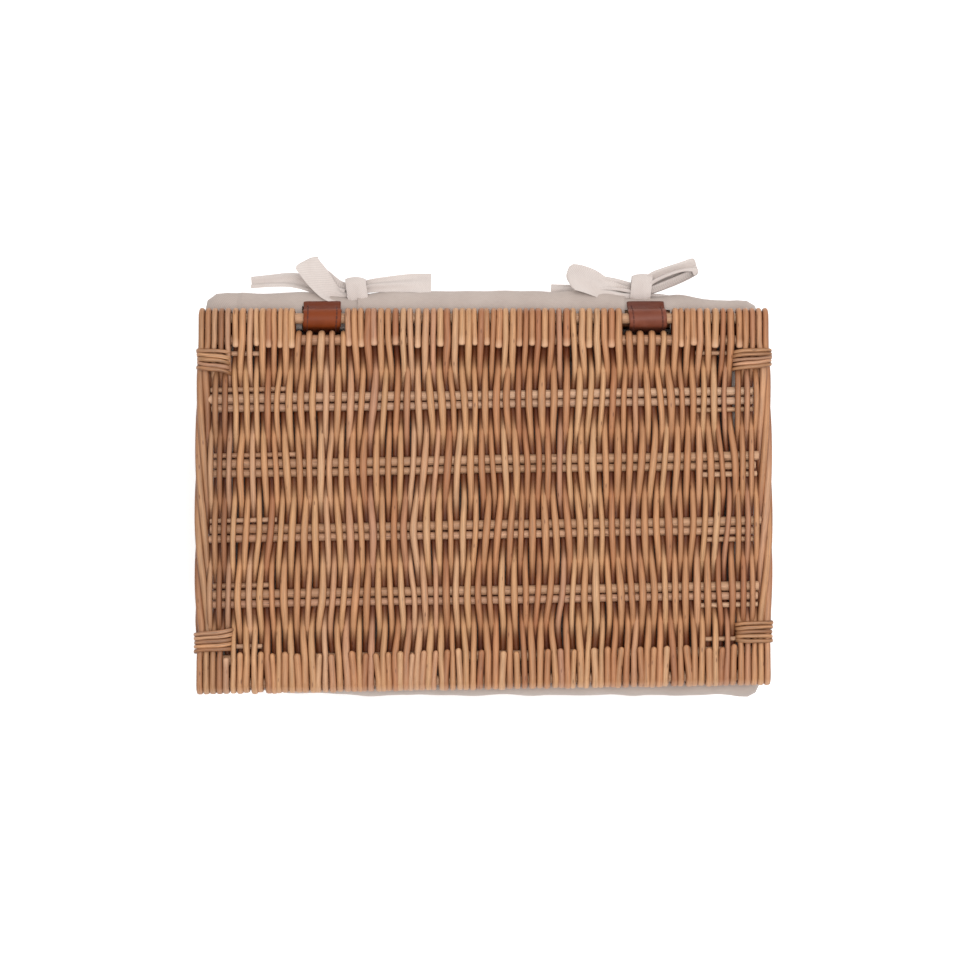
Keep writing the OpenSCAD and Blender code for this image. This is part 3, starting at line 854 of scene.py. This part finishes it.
rods = Rods(231)
for (x, y), _, r in wall_stations():
    if r == POST_R:
        continue
    along = ALONG if abs(x) == POST_X else ACROSS
    for s in (-1, 1):
        px, py = np.array([x, y]) + s * STAKE_OFF * along[:2]
        z = np.linspace(FOOT_LOW + 1, RIM_LOW + 3, 20)
        rods.add(np.column_stack([0 * z + px, 0 * z + py, z]), STAKE_R, STAKE_R, ACROSS, 10, light=0.55)
rods.piece("wall_stakes", stick_willow, "basket", "willow_stick", on_sides("stakes"))

rods = Rods(232)
for sx in (-1, 1):
    for sy in (-1, 1):
        z = np.linspace(FOOT_TOP - 4, RIM_LOW + 4, 24)
        path = np.column_stack([sx * POST_X + 0.4 * np.sin(z / 40), 0 * z + sy * POST_Y, z])
        rods.add(path, POST_R, POST_R, ACROSS, 14, light=0.8)
rods.piece("corner_post_rods", stick_willow, "basket", "willow_stick",
           [f"corner_post_{a}_{b}" for a in ("front", "back") for b in ("left", "right")])


def laid_rope(seed, low, high, across, strands, r, pitch):
    """Rods laid round each other all the way round the basket between two heights, as a border or a foot."""
    rods = Rods(seed)
    line, out = loop_line(POST_X + 0.5, POST_Y + 0.5, 7.0, 5.0)
    length = arc_length(np.vstack([line, line[:1]]))
    turns = round(length[-1] / pitch)
    middle, lift = (low + high) / 2, (high - low) / 2 - r
    for k in range(strands):
        phase = 2 * math.pi * (turns * length[:-1] / length[-1] + k / strands)
        place = line + out * (across * np.sin(phase))[:, None]
        path = np.column_stack([place, middle + lift * np.cos(phase)])
        light = np.clip(0.75 + 0.3 * np.sin(phase), 0.4, 1)
        rods.add(path, r, r, np.column_stack([out, np.zeros(len(out))]), 8, closed=True, light=light)
    return rods


laid_rope(241, RIM_LOW, RIM_TOP, 5.2, 5, 2.6, 96).piece(
    "rim_rods", weaver_willow, "basket", "willow_weave", on_sides("rim_border"))
laid_rope(242, FOOT_LOW, FOOT_TOP, 4.6, 4, 2.9, 90).piece(
    "foot_rods", weaver_willow, "basket", "willow_weave", on_sides("foot_wale"))

BASE_ROW_Y = [-128.5, -104.0, -52.0, 0.0, 52.0, 104.0, 128.5]
BASE_Z = box_mm("base_weave")[1][2] / 2
BASE_PITCH = 5.2
BASE_RISE = 4.75
BASE_EDGE_R, BASE_STICK_R = 3.9, 2.9
rods = Rods(251)
count = int(2 * BASE_X / BASE_PITCH)
for i in range(count):
    x = -BASE_X + (i + 0.5) * 2 * BASE_X / count
    y = np.linspace(BASE_ROW_Y[0] - 6, BASE_ROW_Y[-1] + 6, 61)
    place = np.interp(y, BASE_ROW_Y, np.arange(len(BASE_ROW_Y)))
    z = BASE_Z + BASE_RISE * np.cos(math.pi * (place + i))
    rods.add(np.column_stack([np.full(61, x), y, z]), 2.4, 2.0, ACROSS, 6, light=0.8)
rods.piece("base_weavers", weaver_willow, "basket", "willow_weave", ["base_weave"])
rods = Rods(252)
for y in BASE_ROW_Y:
    edge = y in (BASE_ROW_Y[0], BASE_ROW_Y[-1])
    wavy_stick(rods, -BASE_X + 2, BASE_X - 2, y, BASE_Z, BASE_EDGE_R if edge else BASE_STICK_R, woven=False)
rods.piece("base_rods", stick_willow, "basket", "willow_stick", ["base_sticks", "base_edge_sticks"])

# ---------------- the leather loops and their stitching
STRAP_LOW = box_mm("hinge_strap_right")[0][2]
STRAP_FRONT, STRAP_BACK = box_mm("hinge_strap_right")[0][1], box_mm("hinge_strap_right")[1][1]
STRAP_HALF = half_mm("hinge_strap_right")[0]
STRAP_R = box_mm("hinge_strap_right")[1][2] - LID_Z
LEATHER_T = 1.55
STITCH_COUNT = 13
STITCH_PITCH = 3.2
STITCH_INSET = 3.6


def leather(name, dark, mid, sheen, roughness):
    """Smooth dyed leather: fine pores, soft mottling and painted shade towards its lower part."""
    m = Nodes(name)
    place = m.node("ShaderNodeTexCoord").outputs["Object"]
    cloud = m.noise(place, 60.0, 4.0, 0.6)
    colour = m.ramp(cloud, [(0.25, srgb(*dark)), (0.55, srgb(*mid)), (0.85, srgb(*sheen))])
    height = m.node("ShaderNodeSeparateXYZ", Vector=place).outputs["Z"]
    # painted shade: darker towards the bottom of the loop
    colour = m.mix("MULTIPLY", m.between(height, 0.2155, 0.207, 0.0, 0.55), colour, (0.45, 0.34, 0.30, 1.0))
    gloss = m.between(cloud, 0.3, 0.7, roughness - 0.05, roughness + 0.08)
    pores = m.node("ShaderNodeTexVoronoi", Vector=place, Scale=1300.0).outputs["Distance"]
    fine = m.math("ADD", pores, m.math("MULTIPLY", cloud, 1.5))
    bump = m.bump(fine, 0.0002, 0.35)
    return m.surface(Base_Color=colour, Roughness=gloss, Specular_IOR_Level=0.22, Normal=bump)


def strap_line():
    """The middle of the leather's thickness, from its lower run up the back, over and down again."""
    r = STRAP_R - LEATHER_T
    low, front, back = STRAP_LOW + LEATHER_T, STRAP_FRONT + LEATHER_T, STRAP_BACK - LEATHER_T
    knots = [((front + back) / 2, low), (back - 3, low), (back - 0.4, low + 1.4), (back + 0.6, low + 5),
             (back + 2.2, RIM_TOP - 6), (back + 2.1, RIM_TOP - 1.5), (back + 0.5, RIM_TOP + 1.2),
             (back - 1.9, RIM_TOP + 3.6), (back - 4.3, RIM_TOP + 7)]
    knots += [(EDGE_Y + r * math.cos(a), LID_Z + r * math.sin(a)) for a in np.linspace(0.1, math.pi - 0.1, 9)]
    knots += [(front + 1.0, RIM_TOP + 2.5), (front + 0.1, RIM_TOP - 3), (front, low + 5),
              (front + 0.4, low + 1.4), (front + 3, low)]
    return smooth_line(knots + knots[:1], 6)[:-1]


def strap(name, x, shift, skew, material):
    """A wide leather loop. It sits a little aside at the top and its edges wander."""
    line = strap_line()
    height = (line[:, 1] - STRAP_LOW) / (STRAP_R + LID_Z - STRAP_LOW)
    rods = Rods(261)
    steps = np.arange(len(line)) / len(line)
    path = np.column_stack([x + shift * height**2 + skew * (line[:, 0] - EDGE_Y) / 10 * height, line])
    half = STRAP_HALF + 0.35 * np.sin(steps * 12.6 + 1) - 0.5 * (height > 0.9)
    side = np.column_stack([np.ones(len(line)), np.zeros(len(line)), 0.03 * np.sin(steps * FULL_TURN)])
    rods.add(path, half, LEATHER_T, side, 24, closed=True, square=0.3)
    rods.piece(name + "_loop", material, "basket", "leather", [name])
    return path


def stitches(name, path, material):
    """Two rows of short stitches along the top of a loop, a little in from its edges."""
    rods = Rods(262)
    top = int(np.argmax(path[:, 2]))
    length = arc_length(path)
    out = unit(path - np.array([0, EDGE_Y, LID_Z - 6]) * (0, 1, 1) - path * (1, 0, 0))
    for s in (-1, 1):
        for k in range(STITCH_COUNT):
            at = length[top] + (k - STITCH_COUNT // 2) * STITCH_PITCH + np.linspace(-1.0, 1.0, 4)
            point, lift = (np.column_stack([np.interp(at, length, v) for v in a.T]) for a in (path, out))
            point += lift * (LEATHER_T + 0.15)
            point[:, 0] += s * (STRAP_HALF - STITCH_INSET)
            rods.add(point, 0.55, 0.35, ACROSS, 6, ("round", "round"))
    rods.piece(name + "_thread", material, "basket", "thread", [name])


left_leather = leather("leather_left", (104, 43, 12), (118, 51, 15), (126, 59, 22), 0.5)
right_leather = leather("leather_right", (104, 52, 36), (116, 62, 44), (128, 78, 62), 0.42)
thread = Nodes("thread")
strands = thread.noise(thread.scale(thread.attribute("grain").outputs["Vector"], (4.0, 1.0, 1.0)), 1.0)
dyed = thread.ramp(strands, [(0.3, srgb(72, 30, 18)), (0.7, srgb(92, 40, 26))])
thread.surface(Base_Color=dyed, Roughness=0.8)
STRAPS = {"left": (-HINGE_X, 2.2, 0.6, left_leather), "right": (HINGE_X, 0.6, -1.0, right_leather)}
for name, placed in STRAPS.items():
    stitches(f"hinge_stitching_{name}", strap(f"hinge_strap_{name}", *placed), thread.material)

# ---------------- the cotton lining
BAG_X, BAG_Y = half_mm("lining_bag")[0] - 0.6, box_mm("lining_bag")[1][1] - 0.6
BAG_LOW = box_mm("lining_bag")[0][2] + 0.6
SKIRT_LOW = box_mm("lining_skirt")[0][2]
CLOTH_TOP = box_mm("lining_skirt")[1][2] - 0.5
BAG_STEP, SKIRT_STEP = 6.0, 4.0
ALONG_BACK = 0.99  # the outward Y from which a point counts as on the back
HEM_ROWS = 5


def cotton(name, colour_low, colour_high):
    """Unbleached cotton twill: fine slanting ribs, slubs and soft shading."""
    m = Nodes(name)
    flat = m.attribute("flat").outputs["Vector"]
    parts = m.node("ShaderNodeSeparateXYZ", Vector=flat)
    slant = m.math("ADD", parts.outputs["X"], m.math("MULTIPLY", parts.outputs["Y"], 0.8))
    rib = m.math("SINE", m.math("MULTIPLY", slant, FULL_TURN / 1.5))
    cloud = m.noise(flat, 0.03, 3.0)
    slub = m.noise(m.scale(flat, (0.25, 1.6, 1.0)), 1.0, 3.0, 0.6)
    shade = m.math("ADD", m.math("MULTIPLY", cloud, 0.6), m.math("MULTIPLY", slub, 0.4))
    colour = m.ramp(shade, [(0.35, srgb(*colour_low)), (0.65, srgb(*colour_high))])
    weave = m.grey(m.between(rib, -1.0, 1.0, 0.91, 1.06))
    ribbed = m.bump(m.math("ADD", m.math("MULTIPLY", rib, 0.25), slub), 0.0003, 0.4)
    colour = m.mix("MULTIPLY", 1.0, colour, weave)
    return m.surface(Base_Color=colour, Roughness=0.93, Specular_IOR_Level=0.15, Sheen_Weight=0.12,
                     Normal=ribbed)


def cloth(name, grid, material, nodes, around=False, centre=None, holes=None):
    """A single layer of cloth through a grid of points, in millimetres. around joins its last column to its
    first, centre closes the last row with a middle point, and holes marks the faces to leave out."""
    rows, columns = grid.shape[:2]
    verts = grid.reshape(-1, 3)
    number = np.arange(rows * columns).reshape(rows, columns)
    nxt = np.roll(number, -1, axis=1) if around else number[:, 1:]
    here = number if around else number[:, :-1]
    quads = np.stack([here[:-1], nxt[:-1], nxt[1:], here[1:]], -1)
    quads = quads.reshape(-1, 4) if holes is None else quads[~holes]
    faces = [tuple(int(v) for v in q) for q in quads]
    flat = np.zeros((rows, columns, 3))
    flat[..., 0] = arc_length(grid[rows // 3])
    flat[..., 1] = np.transpose([arc_length(grid[:, i]) for i in range(columns)])
    flat = flat.reshape(-1, 3)
    if centre is not None:
        verts = np.vstack([verts, centre])
        flat = np.vstack([flat, flat[-1:] + (0, 40, 0)])
        faces += [(int(a), int(b), len(verts) - 1) for a, b in zip(here[-1], nxt[-1])]
    mesh = bpy.data.meshes.new(name)
    mesh.from_pydata([tuple(v) for v in verts / MM], [], faces)
    mesh.polygons.foreach_set("use_smooth", [True] * len(mesh.polygons))
    add_attribute(mesh, "flat", "FLOAT_VECTOR", "vector", flat)
    return attach(add_object(name, mesh), material, "basket", nodes)


def waves(s, rng, spans, size):
    """Soft uneven ripples along a length."""
    return sum(size / (k + 1) * np.sin(s / span * FULL_TURN + rng.uniform(0, FULL_TURN))
               for k, span in enumerate(spans))


lining_cotton = cotton("cotton_twill", (165, 151, 143), (178, 165, 157))
panel_cotton = cotton("cotton_panel", (168, 154, 146), (181, 168, 160))
tape_cotton = cotton("cotton_tape", (192, 180, 174), (205, 195, 189))


def lining_bag():
    """The bag inside the basket: sides with slack folds, rounded corners and a flat bottom."""
    rng = np.random.default_rng(301)
    line, out = loop_line(BAG_X, BAG_Y, 16.0, BAG_STEP)
    s = np.arange(len(line)) * BAG_STEP
    rows = []
    slack = waves(s, rng, (150, 83, 47, 31), 1.6)
    heights = [*np.linspace(RIM_TOP + 0.3, BAG_LOW + 12, 26), *(BAG_LOW + np.array([7, 3.4, 1.2, 0.2]))]
    for z in heights:
        down = (RIM_TOP - z) / (RIM_TOP - BAG_LOW)
        swell = np.clip(1.7 + slack * np.sin(3.1 * down + 0.4), 0, 4.5)
        inset = 0.3 + swell * math.sin(math.pi * min(1, down * 1.02))
        inset = inset + max(0, 1 - (z - BAG_LOW) / 8) ** 2 * 6.0
        rows.append(np.column_stack([line - out * inset[:, None], np.full(len(line), z)]))
    ring = rows[-1]
    for shrink in (0.94, 0.86, 0.75, 0.6, 0.45, 0.3, 0.15):
        lift = 0.25 * np.abs(waves(s, rng, (90, 61), 1.0))
        rows.append(np.column_stack([ring[:, :2] * shrink, BAG_LOW + 0.15 + lift]))
    bottom = [0, 0, BAG_LOW + 0.2]
    bag = cloth("lining_bag_cloth", np.stack(rows), lining_cotton, ["lining_bag"], True, bottom)


KNOTS = {name: middle_mm(f"tie_{name}_knot") for name in ("left", "right")}
BACK_FULL, END_FULL, FRONT_FULL, CORNER_FULL = 12.2, 3.2, 3.2, 3.0  # how far out it stands past the rim
CORNER_ROOM = 6.0  # past the rods that turn round the corner posts


def fullness(line, out):
    """How far the skirt swells past the rim: little at the front left, most along the back, and less at the
    back's right end and at the bows."""
    x = line[:, 0]
    front = np.where(out[:, 1] < -0.5, np.interp(x, (-175, -110), (-1.2, FRONT_FULL)), FRONT_FULL)
    full = front + (END_FULL - front) * out[:, 0] ** 2
    back = np.clip(out[:, 1], 0, 1) ** 2
    back_full = np.interp(x, (120, 205), (BACK_FULL, 0.45 * BACK_FULL))
    full = full + (back_full - full) * back + CORNER_FULL * 4 * back * out[:, 0] ** 2 * (x < 0)
    for knot in KNOTS.values():
        full = full - 4.0 * back * np.exp(-((x - knot[0]) / 17) ** 2)
    return full


def skirt_grid(line, out, rng):
    """The skirt from inside the rim, over it and down outside to the hem."""
    s = np.arange(len(line)) * SKIRT_STEP
    full = fullness(line, out) + waves(s, rng, (71, 43, 29), 0.5)
    hang = np.clip(full, -1.1, 16)
    ripple = waves(s, rng, (64, 39, 27), 1.3)
    profile = [(-8.9, RIM_TOP - 6, 0, 0), (-9.0, RIM_TOP - 1, 0, 0), (-7.6, RIM_TOP + 0.9, 0, 0),
               (-3.5, CLOTH_TOP - 0.2, 0, 0), (1.5, CLOTH_TOP, 0, 0), (6.0, CLOTH_TOP - 0.3, 0.05, 0),
               (8.6, CLOTH_TOP - 1.6, 0.3, 0.1), (9.4, CLOTH_TOP - 4.4, 0.7, 0.2)]
    profile += [(9.6, CLOTH_TOP - down, swell, hem) for down, swell, hem in (
        (8.5, 0.95, 0.3), (14, 0.9, 0.45), (22, 0.62, 0.6), (31, 0.36, 0.8), (40, 0.2, 0.9), (49, 0.12, 1.0))]
    profile.append((9.6, SKIRT_LOW, 0.1, 1.1))
    sag = waves(s, rng, (118, 71), 0.9)
    rows = []
    for offset, z, swell, hem in profile:
        at_corner = CORNER_ROOM * 4 * (out[:, 0] * out[:, 1]) ** 2 * min(1.0, 2.5 * hem)
        reach = offset + hang * swell + np.clip(ripple * hem, -0.4, 9) + at_corner
        rows.append(np.column_stack([line + out * reach[:, None], z + sag * hem**2]))
    dense = smooth_line(np.stack(rows).reshape(len(rows), -1), 2)
    return dense.reshape(-1, len(line), 3)


SKIRT_OPEN_Z = 196.5
PANEL_LOW, PANEL_HIGH = -HINGE_X + 26.0, HINGE_X - 14.0  # between the leather loops the top edge is doubled
PANEL_ROWS = slice(8, 20)
OPENINGS = [(-HINGE_X - 12, -HINGE_X + 13, STRAP_BACK + 0.5), (HINGE_X - 11, HINGE_X + 12, STRAP_BACK + 0.5),
            (HINGE_X - 19, HINGE_X + 21, STRAP_BACK - 4.5)]


def skirt():
    """One sheet over the rim and down outside it, with an opening over the rim for each leather loop."""
    rng = np.random.default_rng(311)
    line, out = loop_line(POST_X, POST_Y, 9.0, SKIRT_STEP)
    grid = skirt_grid(line, out, rng)
    upper = (grid[1:, :, 2] > SKIRT_OPEN_Z) & (out[:, 1] > ALONG_BACK)
    holes = np.zeros(upper.shape, bool)
    for low, high, reach in OPENINGS:
        holes |= upper & (low < line[:, 0]) & (line[:, 0] < high) & (grid[1:, :, 1] < reach)
    piece = cloth("lining_skirt_cloth", grid, lining_cotton, ["lining_skirt"], True, None, holes)
    hem = grid[-HEM_ROWS:].copy()
    hem[:, :, :2] += 0.6 * out[None, :, :]
    hem_piece = cloth("lining_skirt_hem", hem, lining_cotton, ["lining_skirt"], True)
    between = (out[:, 1] > ALONG_BACK) & (PANEL_LOW < line[:, 0]) & (line[:, 0] < PANEL_HIGH)
    panel = grid[PANEL_ROWS][:, between].copy()
    ends = 1 + 0.8 * np.exp(-((panel[0, :, 0] - PANEL_LOW) / 7) ** 2)
    panel[:, :, 1] += 1.4 * ends
    panel[:, :, 2] += 0.2
    panel_piece = cloth("lining_skirt_panel", panel, panel_cotton, ["lining_skirt"])


# ---------------- the lining's bows
TAPE_HALF = 9.0
TAPE_LEAN = math.radians(25)
LOOP_ROUND = {"left": 4.0, "right": 6.5}


def ribbon(name, node, knot, stations, rng, crumple=0.0):
    """A length of tape through stations, each an offset from the knot, the tape's half width there, and which
    way its width points and tilts. Where it is drawn in it gathers into ripples, and crumple adds to them."""
    row = smooth_line(stations, 6)
    row[:, 2] *= np.where(row[:, 2] > 0, 0.6, 1)  # the open lid passes just above
    centre, half = row[:, :3] + knot, row[:, 3] / math.cos(TAPE_LEAN)
    azimuth, tilt = np.radians(row[:, 4]), np.radians(row[:, 5]) - TAPE_LEAN
    side = np.column_stack([np.cos(azimuth) * np.cos(tilt), np.sin(azimuth) * np.cos(tilt), np.sin(tilt)])
    normal = unit(np.cross(unit(np.gradient(centre, axis=0)), side))
    tip = np.abs(unit(np.gradient(centre, axis=0))[:, 2]) ** 2
    gather = (1 - tip) * (crumple + 0.26 * np.sqrt(np.clip(TAPE_HALF**2 - half**2, 0.2, None)))
    across = np.linspace(-1, 1, 13)
    phase = rng.uniform(0, FULL_TURN) + 0.5 * np.sin(np.arange(len(row)) / 9)
    grid = np.empty((len(row), len(across), 3))
    for i, t in enumerate(across):
        lift = gather * np.sin(5.2 * t + phase) + 0.35 * np.sin(np.arange(len(row)) / 5 + 2 * t)
        lift -= 0.9 * (1 - tip) * t * t
        grid[:, i] = centre + side * (half * t)[:, None] + normal * lift[:, None]
    if "loop" in name:  # its far end is rounded, seen from above
        way = unit(row[np.argmax(np.hypot(row[:, 0], row[:, 1])), :2])
        reach = (grid[:, :, :2] - knot[:2]) @ way
        limit = reach.max(axis=0) - LOOP_ROUND[node.split("_")[1]] * (1 - np.sqrt(1 - 0.96 * across**2))
        grid[:, :, :2] -= np.clip(reach - limit, 0, None)[..., None] * way
    obj = cloth(name, grid, tape_cotton, [node])


def knot_band(name, node, centre, half_x, half_y, half_z, slant, rng):
    """The turn of tape round the middle of a bow."""
    angle = np.arange(40) / 40 * 2 * math.pi
    c, z = np.cos(angle), np.sin(angle)
    rows = []
    for t in np.linspace(-1, 1, 9):
        swell = 1 - 0.10 * t**4 + 0.03 * np.sin(3 * t + 2 * angle + 1)
        y = half_y * swell * np.sign(c) * np.abs(c) ** 0.75
        height = half_z * swell * np.sign(z) * np.abs(z) ** 0.7 + 0.35 * np.sin(6 * t + c)
        rows.append(centre + np.column_stack([half_x * t + slant * y / half_y, y, height]))
    grid = np.stack(rows)
    obj = cloth(name, grid, tape_cotton, [node], around=True)


BOWS = {
    "tie_left_loop": [("tie_left_loop_tape", [
        (-5, -4, 2.5, 5.2, 82, 0), (-12, -3.4, 5, 6.8, 64, 0), (-19, 0.5, 6.6, 8.0, 47, 2),
        (-27, 10, 7.3, 9.4, 40, 3), (-33.6, 18.4, 6.8, 9.9, 35, 0), (-37.8, 24, 5.2, 9.9, 32, 0),
        (-39, 25.6, 3.4, 9.8, 32, 0), (-37, 25.4, 1.4, 9.4, 32, 0), (-32, 19, 0, 8, 37, 0),
        (-24, 12, -1, 7.8, 40, 0), (-15, 5.5, -1.5, 6.6, 46, 0), (-6, 2.6, -1, 5, 70, 0)])],
    "tie_left_tails": [("tie_left_tail_left", [
        (-5, -1, -3, 4.6, 80, 0), (-14, 0, -4, 6.2, 74, 8), (-26, 4.5, -6, 6.8, 68, 8),
        (-38, 9, -7, 6.6, 76, 6),
        (-51, 11.3, -7, 6.4, 88, 4), (-66, 10.6, -7, 5.9, 92, 0), (-82, 9.2, -7.5, 5.6, 92, -4)]),
        ("tie_left_tail_right", [
            (5, 4, 0, 4.8, 90, 0), (16, 6, 1, 5.5, 92, 0), (29, 7, 2, 6.4, 92, 3), (44, 8, 2, 7.4, 90, 3),
            (54, 8, 1.5, 7.9, 90, 2), (62.3, 8, 1, 8.1, 90, 0)])],
    "tie_right_loops": [("tie_right_loop_left", [
        (-4, 4, 0.5, 5.2, 88, 0), (-15, 6.4, 1, 5.8, 88, 0), (-28, 8, 1, 6.4, 86, 0),
        (-41, 8.6, 0.6, 7.4, 84, 0),
        (-50, 11, 1.4, 8.4, 88, 0), (-55.5, 12.4, 3.6, 9.6, 94, 0), (-53.5, 13.2, 5.8, 10.6, 90, 0),
        (-45.5, 12, 7.3, 11.2, 80, 0), (-35.5, 8.4, 7.4, 10.4, 72, 4), (-25, 3, 6.4, 8.4, 72, 8),
        (-15, -0.4, 4.8, 7.2, 76, 6), (-5, -1.5, 2.4, 5.6, 84, 0)]),
        ("tie_right_loop_right", [
            (5, 6, 2, 4.6, 98, 0), (13, 12.4, 5, 5.2, 116, 0), (23, 16.6, 6.4, 5, 114, 0),
            (34, 20.2, 6.6, 5.2, 113, 0),
            (43, 22.4, 5.4, 6.6, 112, 0), (47.6, 22.4, 3.6, 7.6, 112, 0), (47.2, 21.2, 1.2, 7.4, 112, 0),
            (41.6, 16.6, 0, 5.8, 112, 0), (32, 12, -1, 5.4, 114, 0), (19, 6.8, -1.5, 5, 114, 0),
            (7, 2.4, -2, 4.4, 106, 0)])],
    "tie_right_tails": [("tie_right_tail_left", [
        (-4, 1, -3, 4.6, 90, 0), (-16, 0.5, -5, 6, 92, 0), (-32, 0, -7, 6.6, 90, 0), (-50, 1, -8, 6.8, 88, 0),
        (-68, 2, -9, 6.8, 88, 0)]),
        ("tie_right_tail_right", [
            (4, -2, -3, 4.6, 90, 0), (13, -3.6, -3.4, 4.8, 84, 6), (22, -4.4, -3.8, 5, 80, 8),
            (32, -6, -4.4, 4.6, 78, 8)])],
}
CRUMPLED = {"tie_right_loop_right": 1.4, "tie_right_loop_left": 0.5}
KNOT_BANDS = {"left": ((3.2, 1.2, 0.0), 8.2, 11.2, 6.8, -1.6),
              "right": ((3.6, 4.2, 0.0), 8.2, 10.8, 6.8, 1.2)}


def bows():
    rng = np.random.default_rng(331)
    for node, tapes in BOWS.items():
        for name, stations in tapes:
            ribbon(name, node, KNOTS[node.split("_")[1]], stations, rng, CRUMPLED.get(name, 0.0))
    for side, (offset, *sizes) in KNOT_BANDS.items():
        knot_band(f"tie_{side}_knot_tape", f"tie_{side}_knot", KNOTS[side] + offset, *sizes, rng)


lining_bag()
skirt()
bows()

# ---------------- camera, light and floor
LID_TOP = (LID_Z + 8.4) / MM
VIEW_DISTANCE = 2.0
VIEW_ELEVATION = math.radians(87)
LID_SHARE = 574 / 960
SENSOR = 36.0
aim = np.array([-0.0028, 0.0134, LID_TOP])  # the photo's middle, in metres
camera_data = bpy.data.cameras.new("camera")
camera_data.sensor_width = SENSOR
camera_data.lens = LID_SHARE * SENSOR * VIEW_DISTANCE / (2 * LID_X / MM)
camera = add_object("camera", camera_data)
camera.location = aim + VIEW_DISTANCE * np.array([0, -math.cos(VIEW_ELEVATION), math.sin(VIEW_ELEVATION)])
camera.rotation_euler = (math.pi / 2 - VIEW_ELEVATION, 0, 0)
bpy.context.scene.camera = camera


def area_light(name, place, size, power, colour=(1, 1, 1)):
    """A square soft light at a place, facing the basket."""
    data = bpy.data.lights.new(name, "AREA")
    data.size, data.energy, data.color = size, power, colour
    light = add_object(name, data)
    light.location = place
    direction = np.array([0, 0, 0.1]) - np.array(place)
    light.rotation_euler = Vector(direction).to_track_quat("-Z", "Y").to_euler()


area_light("key", (0.2, -0.2, 2.9), 1.8, 42.0)
area_light("fill", (1.2, 1.3, 2.5), 2.2, 20.0)
area_light("front", (0.2, -2.4, 0.15), 0.8, 8.0, (0.86, 0.94, 1.0))
world = bpy.data.worlds.new("studio")
world.use_nodes = True
world.node_tree.nodes["Background"].inputs["Color"].default_value = (1.0, 1.0, 1.0, 1.0)
world.node_tree.nodes["Background"].inputs["Strength"].default_value = 0.75
bpy.context.scene.world = world
bpy.context.scene.view_settings.view_transform = "Standard"
bpy.context.scene.view_settings.look = "None"


def floor():
    """A wide pale floor under the basket."""
    half = 6.0
    mesh = bpy.data.meshes.new("floor")
    corners = [(-half, -half, 0), (half, -half, 0), (half, half, 0), (-half, half, 0)]
    mesh.from_pydata(corners, [], [(0, 1, 2, 3)])
    obj = add_object("floor", mesh)
    m = Nodes("studio_floor")
    speck = m.noise(m.node("ShaderNodeTexCoord").outputs["Object"], 3.0, 3.0)
    pale = m.ramp(speck, [(0.3, (0.93, 0.93, 0.93, 1)), (0.7, (0.95, 0.95, 0.95, 1))])
    mesh.materials.append(m.surface(
        Base_Color=pale, Roughness=0.9, Emission_Color=(1.0, 1.0, 1.0, 1.0), Emission_Strength=0.32))


floor()
